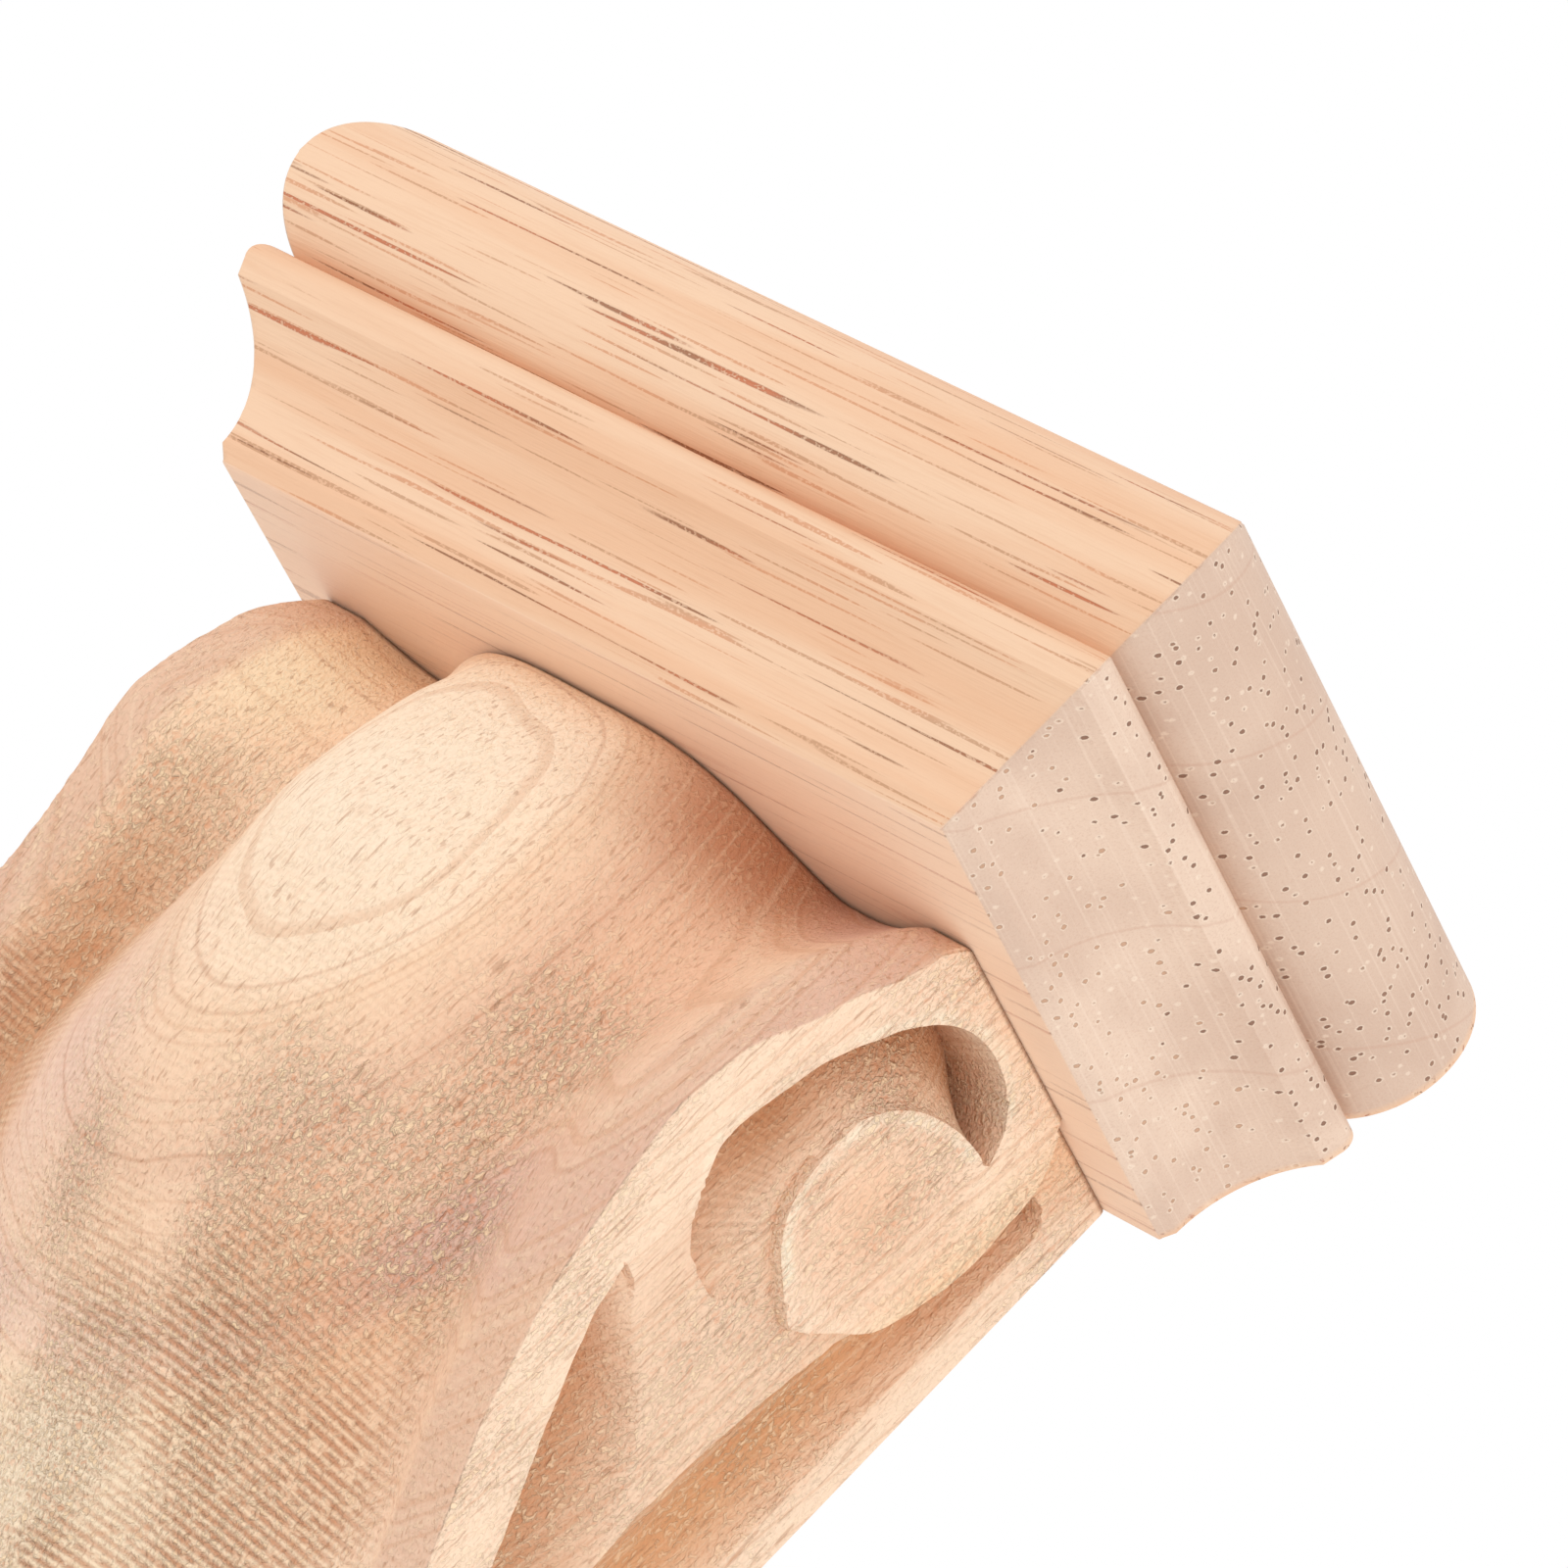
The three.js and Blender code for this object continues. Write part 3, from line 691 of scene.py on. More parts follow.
def cap_profile():
    """(out from the bottom arris, height): the cove's arc, the lip's round, the step, the bullnose."""
    foot = [(-0.1, 0.0), (-0.03, 0.05), (0.0, 0.14)]
    sweep = np.radians(np.linspace(2, COVE_SWEEP, 26))
    cove_out = COVE_FOOT + COVE_RADIUS * (1 - np.cos(sweep))
    cove = np.column_stack([cove_out, COVE_FOOT + COVE_RADIUS * np.sin(sweep)])
    lip_radius = (LEDGE_HEIGHT - LIP_HEIGHT) * LIP_ROUND
    lip_turns = np.radians(np.linspace(-25, 65, 9))
    lip = arc(LIP_OUT - lip_radius, LEDGE_HEIGHT - lip_radius * LIP_DROP, lip_radius, lip_turns)
    nose_z = CAP_TALL - BULLNOSE_RADIUS
    start = np.arcsin((LEDGE_HEIGHT + NOSE_LIFT - nose_z) / BULLNOSE_RADIUS)
    nose = arc(BULLNOSE_REACH, nose_z, BULLNOSE_RADIUS, np.linspace(start, np.pi / 2, 44))
    return np.vstack([foot, cove, lip, [(LEDGE_OUT, LEDGE_HEIGHT)], nose])


profile = cap_profile()
print("cap profile", len(profile), "points, out to", profile[:, 0].max().round(2), "mm")

# %% Cap piece
MITRE = 0.12
CAP_SIDE_COLUMNS, CAP_FRONT_COLUMNS = 70, 150
cap_reach = BULLNOSE_RADIUS + BULLNOSE_REACH
half_cap, deep_cap = CAP_HIGH[0] - cap_reach, -CAP_LOW[1] - cap_reach
out, height = profile[:, 0][:, None], profile[:, 1][:, None]


def with_height(x, y):
    """Stacks x and y with each row's own height."""
    return np.stack([x, y, np.broadcast_to(height, x.shape)], axis=-1)


flip = np.array([-1.0, 1.0, 1.0])
side_y = -np.linspace(0, 1, CAP_SIDE_COLUMNS)[None] * (deep_cap + out - MITRE)
cap_side = with_height(np.broadcast_to(half_cap + out, side_y.shape), side_y)
mitre_x = half_cap + out - MITRE
cap_front_x = mix(mitre_x, -mitre_x, np.linspace(0, 1, CAP_FRONT_COLUMNS)[None])
cap_front = with_height(cap_front_x, np.broadcast_to(-(deep_cap + out), cap_front_x.shape))
worn = 0.10 * np.abs(grain(height, height, 2.1, 0.0, 80)) + CORNER_SHARE * MITRE
mitre = with_height(half_cap + out - worn, worn - (deep_cap + out))
cap_net = np.concatenate([cap_side, mitre, cap_front, mitre * flip, cap_side[:, ::-1] * flip], axis=1)
cap_net[..., 2] += JOINT_Z
cap = wrap_mesh("moulded_cap_block", cap_net)
face_out(cap)

# %% Where the cap shows end grain
end_grain = np.zeros(cap_net.shape[:2])
end_grain[1:-1, 1:CAP_SIDE_COLUMNS + 1] = 1.0
end_grain[1:-1, -CAP_SIDE_COLUMNS - 1:-1] = 1.0
give(cap, "end_grain", end_grain)
print("end grain on", end_grain.mean().round(2), "of the cap's points")

# %% [markdown]
# ## Tones by growth ring, and soft patches
# Raw rubberwood is cream to peach. On the front the tone follows the growth rings, so it is read
# from a short table by the distance from the pith line, and the pale oval on the nose and the
# mauve bands beside it come out by themselves. A few soft ovals are laid over it, each with its
# own place, reach and colour. The result is stored on the vertices, and the fine figure is left
# to the material.


# %% Tones by ring
def linear(red, green, blue):
    """A screen colour, 0 to 255, as linear light."""
    part = np.array([red, green, blue]) / 255.0
    return np.where(part > 0.04045, ((part + 0.055) / 1.055) ** 2.4, part / 12.92)


RING_TONES = [
    (36.0, (248, 222, 196)), (38.8, (246, 217, 188)), (39.4, (240, 205, 173)), (41.5, (236, 198, 168)),
    (42.6, (228, 187, 158)), (44.0, (238, 199, 168)), (47.0, (238, 200, 170)), (48.0, (224, 184, 166)),
    (49.6, (222, 182, 166)), (50.6, (242, 202, 168)), (58.0, (248, 216, 190)),
]


def ring_tone(x, u, w):
    """The wood's tone by its growth ring, from RING_TONES, with a slow wander of the rings."""
    shell = growth_shell(x, u, w) + 0.8 * noise(x * 0.11, u * 0.11, w * 0.05)
    places = [place for place, _ in RING_TONES]
    tones = np.array([linear(*tone) for _, tone in RING_TONES])
    return np.stack([np.interp(shell, places, tones[:, k]) for k in range(3)], axis=-1)


print(len(RING_TONES), "ring tones, the palest", linear(*RING_TONES[0][1]).round(2))

# %% Patches, each as its place, its reach, its share and its screen colour
FRONT_PATCHES = [
    ((-16.5, 6.0), (5.0, 8.0), 0.9, (255, 224, 188)),
    ((-15.5, 24.0), (2.6, 10.0), 0.9, (206, 146, 100)),
    # This dark oval in the right hollow just under the joint is partly darker wood and partly painted shade
    # under the cap.
    ((10.5, 1.5), (5.0, 4.0), 0.9, (176, 112, 76)),
    ((13.5, 11.0), (4.0, 8.0), 0.6, (234, 184, 152)),
    ((17.0, 22.0), (2.5, 9.0), 0.8, (226, 186, 162)),
    ((10.5, 30.5), (3.5, 4.0), 0.7, (226, 164, 122)),
    ((-8.0, 28.0), (4.5, 7.0), 0.6, (230, 196, 182)),
    ((-12.5, 31.0), (2.5, 5.0), 0.8, (208, 148, 104)),
    ((3.0, 42.0), (11.0, 9.0), 0.9, (255, 228, 200)),
]
SIDE_PATCHES = [
    ((13.0, 24.0), (6.0, 6.0), 0.7, (248, 218, 190)),
    ((4.5, 22.0), (1.8, 24.0), 0.9, (250, 204, 158)),
    ((11.0, 10.0), (3.4, 3.4), 0.9, (236, 190, 156)),
    # This brown oval in the front of the volute's channel is partly browner cut wood and partly painted
    # shade in the channel.
    ((18.2, 12.0), (1.8, 4.0), 0.7, (176, 112, 66)),
    ((0.5, 30.0), (1.4, 60.0), 0.8, (255, 232, 206)),
]


def patched(base, a, b, patches):
    """The base colour with each patch blended over it by exp(-(distance / reach) squared)."""
    colour = np.broadcast_to(base, a.shape + (3,)).copy()
    for (at_a, at_b), (reach_a, reach_b), share, tone in patches:
        weight = share * np.exp(-((a - at_a) / reach_a) ** 2 - ((b - at_b) / reach_b) ** 2)
        colour = mix(colour, linear(*tone), weight[..., None])
    return colour


print(len(FRONT_PATCHES), "patches on the front,", len(SIDE_PATCHES), "on each side")

# %% [markdown]
# ## Tint of the body
# Light from all round reaches a deep cut less, and the cut wood there is a warmer brown, so the
# tint deepens with the depth of the cut. The volute's rims are fuzzy and pale, where the cutter
# broke the fibres at the edge. The front's flat strips are a little darker than the tongue.

# %% Front and side tints
LIGHTER = 1.09
SIDE_TONE = (247, 215, 187)
DEEP_TONE, DEEP_SHARE, DEEP_FULL = (192, 128, 80), 0.80, 2.6
x_all, u_all, w_all = body_net[..., 0], -body_net[..., 1], body_below
side_count = right.shape[1]
on_front = np.zeros(x_all.shape)
on_front[:, side_count:-side_count] = 1.0
front_tint = patched(ring_tone(x_all, u_all, w_all), x_all, w_all, FRONT_PATCHES)
side_tint = patched(linear(*SIDE_TONE), u_all, w_all, SIDE_PATCHES)
depth_in = np.clip((HALF_BODY - np.abs(x_all)) / DEEP_FULL, 0, 1)[..., None] * (1 - on_front[..., None])
side_tint = mix(side_tint, linear(*DEEP_TONE), DEEP_SHARE * depth_in)
print("front tint", front_tint.mean(axis=(0, 1)).round(2), "side tint", side_tint.mean(axis=(0, 1)).round(2))

# %% Pale rims and edge strips
RIM_TONE, RIM_SHARE = (255, 234, 208), 0.75
WALL_RIM, EYE_RIM = (0.35, 0.5), (0.4, 0.6)
STRIP_TONE, STRIP_SHARE = (226, 184, 158), 0.7


def rim_line(distance, place, half):
    """1 on a line at this place along the distance, smoothly down to 0 half a width away."""
    return smooth(1.0 - np.abs(distance - place) / half)


turn_all = np.degrees(np.arctan2(VOLUTE_BELOW - w_all, VOLUTE_OUT - u_all)) % 360.0
on_table = np.clip(turn_all, CHANNEL_FROM, CHANNEL_OUTER[-1][0])
ring_all = from_volute(u_all, w_all)
past_wall = rim_line(ring_all - along(CHANNEL_OUTER, on_table), *WALL_RIM)
inside_eye = rim_line(along(EYE_EDGE, on_table) - ring_all, *EYE_RIM)
pale_rim = past_wall * (turn_all > 75) * (turn_all < 225)
pale_rim = np.maximum(pale_rim, inside_eye * (turn_all > 66) * (turn_all < EYE_ENDS))
pale_rim = pale_rim * np.clip(0.7 + 0.6 * grain(u_all, w_all, 1.6, 1.1, 33), 0.0, 1.0)
side_tint = mix(side_tint, linear(*RIM_TONE), RIM_SHARE * pale_rim[..., None])
tint = np.minimum(mix(side_tint, front_tint, on_front[..., None]) * LIGHTER, 1.0)
on_strip = smooth(np.abs(x_all) - (HALF_BODY - STRIP_WIDTH - 1.0)) * on_front
tint = mix(tint, linear(*STRIP_TONE), STRIP_SHARE * on_strip[..., None])
print("tint from", tint.min(axis=(0, 1)).round(2), "to", tint.max(axis=(0, 1)).round(2))

# %% Values stored for the body's finish
front_columns = slice(side_count + 1, -side_count - 1)
torn_all = np.zeros(x_all.shape)
torn_all[:, :side_count] = torn_right
torn_all[:, -side_count:] = torn_left[:, ::-1]
torn_all[:, front_columns] = torn_front
ridge_all = np.zeros(x_all.shape)
ridge_all[:, front_columns] = ridges
in_front = smooth(u_all - VOLUTE_OUT - 0.5 * (w_all - VOLUTE_BELOW)) * smooth((w_all - 7.5) / 4.0)
spokes = in_front * smooth(ring_all - 6.0) * smooth(10.4 - ring_all) * (1.0 - on_front)
stored_values = {"tint": tint, "torn": torn_all, "ridge": ridge_all, "below": body_below, "spokes": spokes}
for name, values in stored_values.items():
    give(body, name, values)
print("stored", ", ".join(stored_values))

# %% [markdown]
# ## Wood as a solid
# The figure of wood runs through the block, so the materials read Object coordinates: stretched
# noise for the pores and the fibres, and thin shells round a far-off pith for the growth rings.
# A cut at another slope then shows the figure that it should, as on real wood. One small class
# keeps the many nodes readable: each of its steps returns a socket that the next one can take.


# %% A small helper for node materials
class Finish:
    """Adds nodes to one material, and links any input that is given a socket."""

    def __init__(self, name):
        self.material = bpy.data.materials.new(name)
        self.material.use_nodes = True
        self.tree = self.material.node_tree
        self.shader = self.tree.nodes["Principled BSDF"]

    def add(self, kind, inputs, **settings):
        """One node of this kind, with its settings and its inputs by name or number."""
        node = self.tree.nodes.new("ShaderNode" + kind)
        for key, value in settings.items():
            setattr(node, key, value)
        self.feed(node, inputs)
        return node

    def feed(self, node, inputs):
        """Sets or links each input of a node."""
        for key, value in inputs.items():
            if isinstance(value, bpy.types.NodeSocket):
                self.tree.links.new(value, node.inputs[key])
            else:
                node.inputs[key].default_value = value

    def math(self, operation, a, b=0.0, clamp=False):
        """One arithmetic step."""
        return self.add("Math", {0: a, 1: b}, operation=operation, use_clamp=clamp).outputs[0]

    def plus(self, a, b):
        """a plus b."""
        return self.math("ADD", a, b)

    def less(self, a, b):
        """a less b."""
        return self.math("SUBTRACT", a, b)

    def times(self, a, b):
        """a times b."""
        return self.math("MULTIPLY", a, b)

    def from_axis(self, a, a_at, b, b_at):
        """Distance from a line: the square root of the two differences squared and added."""
        squares = [self.math("POWER", self.less(*pair), 2.0) for pair in ((a, a_at), (b, b_at))]
        return self.math("SQRT", self.plus(*squares))

    def blend(self, share, a, b):
        """Two colours mixed by share."""
        return self.add("Mix", {0: share, 6: a, 7: b}, data_type="RGBA").outputs[2]

    def lay(self, colour, mask, strength, tone):
        """The colour with a screen tone laid over it, by the mask times a strength."""
        return self.blend(self.times(mask, strength), colour, rgba(*tone))

    def place(self):
        """The x, y and z of Object coordinates."""
        return self.add("SeparateXYZ", {0: self.add("TexCoord", {}).outputs["Object"]}).outputs

    def scaled(self, size_mm):
        """Object coordinates counted in cells of the given size along each axis."""
        whole = self.add("TexCoord", {}).outputs["Object"]
        scale = [1.0 / (side * MM) for side in size_mm]
        return self.add("Mapping", {0: whole, 3: scale}).outputs[0]

    def cloud(self, size_mm, detail=3.0, rough=0.55, warp=0.0):
        """Noise from 0 to 1 in cells of the given size."""
        inputs = {"Vector": self.scaled(size_mm), "Scale": 1.0, "Detail": detail, "Roughness": rough,
                  "Distortion": warp}
        return self.add("TexNoise", inputs).outputs[0]

    def between(self, value, low, high):
        """0 below low and 1 above high, smoothly, or the other way round where low is the larger."""
        inputs = {0: value, 1: low, 2: high, 3: 0.0, 4: 1.0}
        return self.add("MapRange", inputs, interpolation_type="SMOOTHSTEP").outputs[0]

    def stored(self, name, part=2):
        """A value stored on the vertices: its number, or its colour where part is 0."""
        return self.add("Attribute", {}, attribute_name=name).outputs[part]

    def finish(self, colour, height, strength, distance, roughness, specular):
        """Joins the colour and the bump of a height to the shader, with its gloss."""
        bump = self.add("Bump", {"Height": height, "Strength": strength, "Distance": distance}).outputs[0]
        self.feed(self.shader, {"Base Color": colour, "Normal": bump, "Roughness": roughness,
                                "Specular IOR Level": specular})


def rgba(red, green, blue):
    """A screen colour, 0 to 255, as three linear parts and a full alpha."""
    return (*[float(part) for part in linear(red, green, blue)], 1.0)


# %% [markdown]
# ## The body's finish
# The body is cut from upright grain. From the inside out it shows growth rings as thin lines,
# short dark pores, fibres, and over these what the cutter did: torn fibres that stand up pale,
# with a painted highlight on them and painted shade in the gaps between, furrows between its
# ridges darkened by painted shade, and spokes round the volute's channel, painted as the shade of
# their small ridges.

# %% Growth rings
RING_LINES = (
    (38.9, 0.08, 0.30), (39.4, 0.07, 0.25), (40.0, 0.07, 0.18), (41.2, 0.07, 0.20),
    (42.6, 0.10, 0.36), (44.6, 0.08, 0.20), (47.7, 0.12, 0.30),
)
RINGS_TO_A_METRE = 2600.0
WANDER = 0.0016
wood = Finish("body_rubberwood")
x_at, y_at, z_at = wood.place()
from_pith = wood.from_axis(x_at, PITH_X * MM, y_at, -PITH_OUT * MM)
lean = wood.times(wood.less(JOINT_Z * MM, z_at), PITH_LEAN)
wander = wood.times(wood.less(wood.cloud((13, 13, 34), 2.0), 0.5), WANDER)
shell = wood.plus(wood.plus(from_pith, lean), wander)
ring_noise = {"W": wood.times(shell, RINGS_TO_A_METRE), "Scale": 1.0, "Detail": 1.0}
rings = wood.add("TexNoise", ring_noise, noise_dimensions="1D").outputs[0]
colour = wood.stored("tint", 0)
colour = wood.lay(colour, wood.between(rings, 0.60, 0.72), 0.26, (206, 146, 104))
colour = wood.lay(colour, wood.between(rings, 0.42, 0.30), 0.20, (250, 222, 190))
for at_mm, half_mm, share in RING_LINES:
    off_line = wood.math("ABSOLUTE", wood.less(shell, at_mm * MM))
    colour = wood.lay(colour, wood.between(off_line, half_mm * MM, 0.0), share, (184, 120, 84))
print(len(wood.tree.nodes), "nodes so far, with", len(RING_LINES), "ring lines")

# %% Fibres and torn grain
fibre = wood.cloud((0.20, 0.20, 2.4), 3.0)
colour = wood.lay(colour, wood.between(fibre, 0.52, 0.75), 0.28, (206, 148, 108))
fuzz = wood.cloud((0.24, 0.24, 0.40), 2.0, 0.6, 0.6)
torn_here = wood.stored("torn")
raised = wood.between(fuzz, 0.52, 0.62)
# Pale flecks: the raised fibres' own paler colour, with a painted highlight on them.
pale_fibre_and_highlight = wood.times(raised, wood.math("ADD", torn_here, 0.10, clamp=True))
# Dark flecks: painted shade in the gaps between the raised fibres.
fibre_gap_shade = wood.times(wood.between(fuzz, 0.44, 0.34), torn_here)
colour = wood.lay(colour, pale_fibre_and_highlight, 0.80, (255, 224, 184))
colour = wood.lay(colour, fibre_gap_shade, 0.48, (222, 140, 94))
print(len(wood.tree.nodes), "nodes so far, with the torn grain")

# %% Furrows between the ridges, and spokes round the channel
SPOKES = 118.0
below_here, ridge_here = wood.stored("below"), wood.stored("ridge")
furrow_at = wood.times(wood.less(below_here, RIDGE_FROM), 2 * np.pi / RIDGE)
furrow_depth_and_shade = wood.less(0.5, wood.times(wood.math("COSINE", furrow_at), 0.5))
broken = wood.between(wood.cloud((0.9, 0.9, 0.40), 2.0), 0.30, 0.52)
furrow_depth_and_shade = wood.times(wood.times(furrow_depth_and_shade, broken), ridge_here)
colour = wood.lay(colour, ridge_here, 0.40, (252, 218, 178))
# The furrows' brown is painted shade in the hollows between the cutter's ridges; the same mask sinks them in
# the bump.
colour = wood.lay(colour, furrow_depth_and_shade, 0.66, (196, 118, 74))
rise_at = wood.less(z_at, (JOINT_Z - VOLUTE_BELOW) * MM)
spoke_turn = wood.math("ARCTAN2", rise_at, wood.plus(y_at, VOLUTE_OUT * MM))
spoke_wave = wood.math("COSINE", wood.times(spoke_turn, SPOKES))
spoke_depth_and_shade = wood.plus(wood.times(spoke_wave, 0.5), 0.5)
spoke_depth_and_shade = wood.times(wood.times(spoke_depth_and_shade, broken), wood.stored("spokes"))
# The spokes' dark lines are painted shade of the channel's small radial ridges; the same mask also cuts them
# into the bump.
colour = wood.lay(colour, spoke_depth_and_shade, 0.20, (156, 98, 60))
print(len(wood.tree.nodes), "nodes so far, with the cutter's marks")

# %% Pores, the joint's shadow and the bump
pores = wood.between(wood.cloud((0.17, 0.17, 1.5), 0.0), 0.68, 0.76)
colour = wood.lay(colour, pores, 0.36, (170, 112, 76))
colour = wood.lay(colour, wood.between(below_here, 0.35, 0.05), 0.65, (120, 78, 56))
high = wood.plus(wood.times(fuzz, wood.plus(torn_here, 0.20)), wood.times(fibre, 0.30))
high = wood.plus(high, wood.times(raised, wood.plus(wood.times(torn_here, 0.10), 0.04)))
high = wood.less(high, wood.times(furrow_depth_and_shade, 0.35))
high = wood.less(high, wood.times(spoke_depth_and_shade, 0.12))
wood.finish(colour, high, strength=1.0, distance=0.00034, roughness=0.72, specular=0.25)
body.data.materials.append(wood.material)
print(wood.material.name, "has", len(wood.tree.nodes), "nodes")

# %% [markdown]
# ## The cap's finish
# The cap's grain runs across the front, so the front shows long grain, with open pores as long
# dark dashes, and the mitred sides show end grain, with the same pores as dots. Both figures are
# made from the same solid block, and the value stored on the vertices says which one shows.

# %% Long grain
cap_wood = Finish("cap_rubberwood")
x_at, y_at, z_at = cap_wood.place()
broad = cap_wood.between(cap_wood.cloud((45, 3.5, 2.2), 3.0, 0.5, 0.4), 0.35, 0.62)
long_colour = cap_wood.blend(broad, rgba(236, 190, 154), rgba(241, 203, 170))
fibre = cap_wood.cloud((5.0, 0.14, 0.14), 3.0)
long_colour = cap_wood.lay(long_colour, cap_wood.between(fibre, 0.48, 0.70), 0.16, (218, 164, 124))
grit = cap_wood.between(cap_wood.cloud((0.22, 0.12, 0.12), 1.0), 0.36, 0.54)


def dashes(size_mm, low, high):
    """Long thin open pores: the crests of a stretched noise, broken into grains."""
    crest = cap_wood.between(cap_wood.cloud(size_mm, 0.0), low, high)
    return cap_wood.times(crest, cap_wood.math("ADD", grit, 0.35, clamp=True))


fine = dashes((11.0, 0.19, 0.19), 0.65, 0.72)
bold = dashes((16.0, 0.25, 0.25), 0.71, 0.76)
warm = cap_wood.between(cap_wood.cloud((9, 1.6, 1.6), 1.0), 0.42, 0.58)
fine_tone = cap_wood.blend(warm, rgba(180, 128, 90), rgba(206, 130, 84))
bold_tone = cap_wood.blend(warm, rgba(150, 92, 58), rgba(196, 104, 62))
long_colour = cap_wood.blend(cap_wood.times(fine, 0.60), long_colour, fine_tone)
long_colour = cap_wood.blend(cap_wood.times(bold, 0.85), long_colour, bold_tone)
# Painted light: the cap's underside, which faces down into shade, is painted lighter.
underside_painted_light = cap_wood.between(z_at, (JOINT_Z + 0.06) * MM, (JOINT_Z + 0.01) * MM)
long_colour = cap_wood.lay(long_colour, underside_painted_light, 0.6, (255, 222, 196))
print(len(cap_wood.tree.nodes), "nodes so far, with the long grain")

# %% End grain: clouds, saw marks and year lines
END_PITH_Y, END_PITH_Z, RING_STEP = 0.068, 0.0, 0.0085
BULLNOSE_FROM, BULLNOSE_BY = 8.6, 9.4
blotch = cap_wood.between(cap_wood.cloud((40, 9.0, 6.0), 2.0, 0.5, 0.4), 0.36, 0.64)
end_colour = cap_wood.blend(blotch, rgba(219, 189, 168), rgba(234, 206, 184))
upper = cap_wood.between(z_at, (JOINT_Z + BULLNOSE_FROM) * MM, (JOINT_Z + BULLNOSE_BY) * MM)
end_colour = cap_wood.lay(end_colour, upper, 0.5, (206, 176, 156))
speck = cap_wood.between(cap_wood.cloud((3.0, 0.10, 0.10), 2.0), 0.5, 0.68)
end_colour = cap_wood.lay(end_colour, speck, 0.25, (200, 160, 136))
saw = cap_wood.between(cap_wood.cloud((0.16, 30.0, 0.16), 2.0), 0.52, 0.70)
end_colour = cap_wood.lay(end_colour, saw, 0.22, (252, 230, 210))
end_radius = cap_wood.from_axis(y_at, END_PITH_Y, z_at, END_PITH_Z)
end_radius = cap_wood.plus(end_radius, cap_wood.times(cap_wood.cloud((20, 14, 14), 1.0), 0.003))
to_ring = cap_wood.math("PINGPONG", cap_wood.math("DIVIDE", end_radius, RING_STEP), 0.5)
end_colour = cap_wood.lay(end_colour, cap_wood.between(to_ring, 0.016, 0.002), 0.22, (196, 146, 122))
print(len(cap_wood.tree.nodes), "nodes so far, with the year lines", RING_STEP / MM, "mm apart")

# %% End grain: pores with pale rims
cell = cap_wood.add("TexVoronoi", {"Vector": cap_wood.scaled((9.0, 0.70, 0.70)), "Scale": 1.0})
uneven = cap_wood.times(cap_wood.cloud((0.2, 0.12, 0.12), 1.0), 0.12)
from_middle = cap_wood.plus(cell.outputs["Distance"], uneven)
chosen = cap_wood.add("SeparateXYZ", {0: cell.outputs["Color"]}).outputs[0]
pore = cap_wood.between(from_middle, 0.26, 0.20)
pore_rim = cap_wood.times(cap_wood.between(from_middle, 0.36, 0.28), cap_wood.less(1.0, pore))
pore_tone = cap_wood.blend(cap_wood.between(chosen, 0.2, 0.8), rgba(128, 86, 64), rgba(200, 156, 126))
end_colour = cap_wood.lay(end_colour, pore_rim, 0.45, (252, 232, 210))
end_colour = cap_wood.blend(cap_wood.times(pore, 0.85), end_colour, pore_tone)
print(len(cap_wood.tree.nodes), "nodes so far, with the pores")

# %% The cap's colour and bump
end_here = cap_wood.stored("end_grain")
colour = cap_wood.blend(end_here, long_colour, end_colour)
long_hollow = cap_wood.times(bold, cap_wood.less(1.0, end_here))
hollow = cap_wood.plus(long_hollow, cap_wood.times(pore, end_here))
high = cap_wood.less(cap_wood.times(fibre, 0.25), hollow)
cap_wood.finish(colour, high, strength=0.5, distance=0.00025, roughness=0.62, specular=0.3)
cap.data.materials.append(cap_wood.material)
print(cap_wood.material.name, "has", len(cap_wood.tree.nodes), "nodes")

# %% [markdown]
# ## The pieces in the frame
# Each surface stands in for its solid, and rides on the one body that a corbel is.

# %% Attach the pieces
for piece, node, slot_name in ((body, "scroll_body", "body_wood"), (cap, "moulded_cap", "cap_wood")):
    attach(piece, "root")
    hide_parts(node)
    print(piece.name, "stands in for", node)

# %% [markdown]
# ## Floor and light
# A pale floor lies well below, since a corbel hangs on a wall and the eye is under it. A white
# surround gives the soft light. Three broad lamps give it a direction: one from the front left,
# one from the right that lights the carved side, and one from below that lifts the tongue.

# %% Floor and surround
FLOOR_HALF, FLOOR_Z = 1.5, -0.20
FLOOR_CORNERS = [(-FLOOR_HALF, -FLOOR_HALF, FLOOR_Z), (FLOOR_HALF, -FLOOR_HALF, FLOOR_Z),
                 (FLOOR_HALF, FLOOR_HALF, FLOOR_Z), (-FLOOR_HALF, FLOOR_HALF, FLOOR_Z)]
WHITE = (1.0, 1.0, 1.0, 1.0)
floor_mesh = bpy.data.meshes.new("floor")
floor_mesh.from_pydata(FLOOR_CORNERS, [], [(0, 1, 2, 3)])
floor = bpy.data.objects.new("floor", floor_mesh)
floor_paint = Finish("pale_floor")
floor_paint.feed(floor_paint.shader, {"Base Color": (0.85, 0.85, 0.85, 1.0), "Roughness": 0.9})
floor_mesh.materials.append(floor_paint.material)
scene = bpy.context.scene
scene.collection.objects.link(floor)
scene.view_settings.view_transform = "Standard"
world = bpy.data.worlds.new("surround")
world.use_nodes = True
background = world.node_tree.nodes["Background"]
background.inputs[0].default_value = WHITE
background.inputs[1].default_value = 1.0
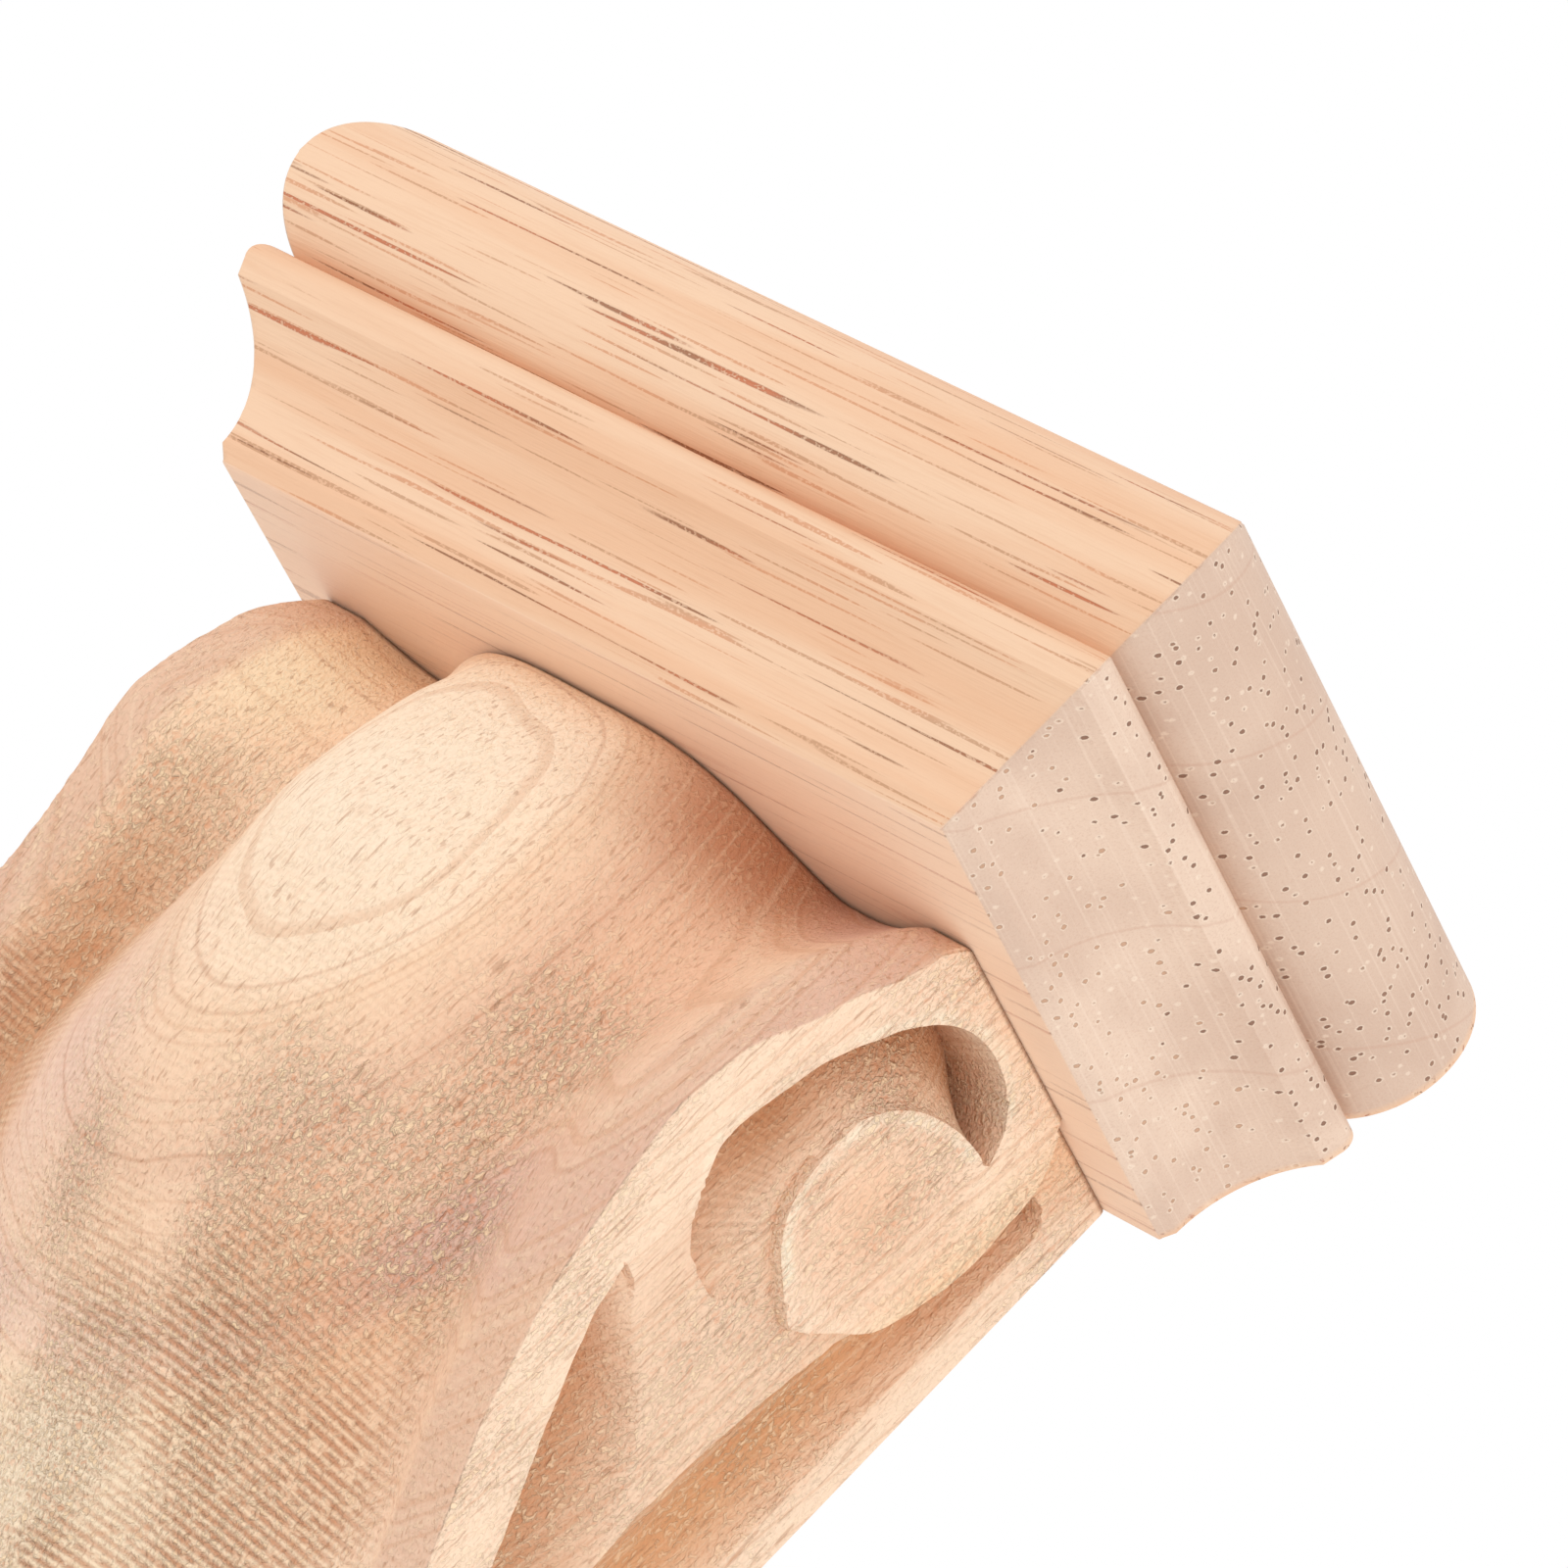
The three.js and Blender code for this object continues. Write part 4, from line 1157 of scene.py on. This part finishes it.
scene.world = world
print("floor", abs(FLOOR_Z) / MM, "mm below the corbel's middle")

# %% Lamps, each with its place in metres, its size and its watts
LAMPS = (
    ("front_left", (-0.45, -0.55, 0.10), 0.35, 0.7),
    ("right_fill", (0.70, -0.10, -0.12), 0.50, 1.2),
    ("low_fill", (0.15, -0.30, -0.55), 0.40, 1.1),
)


def set_up(name, data, right_way, up_way, back_way, place):
    """An object in the scene whose own x, y and z point along the three ways."""
    rows = [[right_way[k], up_way[k], back_way[k], place[k]] for k in range(3)]
    thing = bpy.data.objects.new(name, data)
    thing.matrix_world = Matrix(rows + [[0, 0, 0, 1]])
    scene.collection.objects.link(thing)
    return thing


def lamp(name, place, size, watts):
    """A square area lamp at place that faces the frame's origin."""
    data = bpy.data.lights.new(name, "AREA")
    data.size, data.energy = size, watts
    back_way = np.array(place) / np.linalg.norm(place)
    right_way = np.cross((0.0, 0.0, 1.0), back_way)
    right_way = right_way / np.linalg.norm(right_way)
    set_up(name, data, right_way, np.cross(back_way, right_way), back_way, place)


for lamp_values in LAMPS:
    lamp(*lamp_values)
print(len(LAMPS), "lamps")

# %% [markdown]
# ## Camera
# The photograph was taken with a long lens, close under the right front corner and rolled almost
# half a right angle. Its place and its three directions were solved from the cap's corners.

# %% Camera
LENS_MM, SENSOR_MM = 277.7, 36.0
CAMERA_PLACE = (0.3674, -0.3719, -0.1296)
CAMERA_RIGHT = (0.65236, 0.35577, 0.66922)
CAMERA_UP = (-0.33569, -0.65602, 0.67598)
CAMERA_BACK = (0.67952, -0.66563, -0.30853)
CLIP_START, CLIP_END = 0.01, 20.0
camera_data = bpy.data.cameras.new("camera")
camera_data.sensor_width, camera_data.lens = SENSOR_MM, LENS_MM
camera_data.clip_start, camera_data.clip_end = CLIP_START, CLIP_END
scene.camera = set_up("camera", camera_data, CAMERA_RIGHT, CAMERA_UP, CAMERA_BACK, CAMERA_PLACE)
print("the camera stands", round(float(np.linalg.norm(CAMERA_PLACE)), 3), "m away")
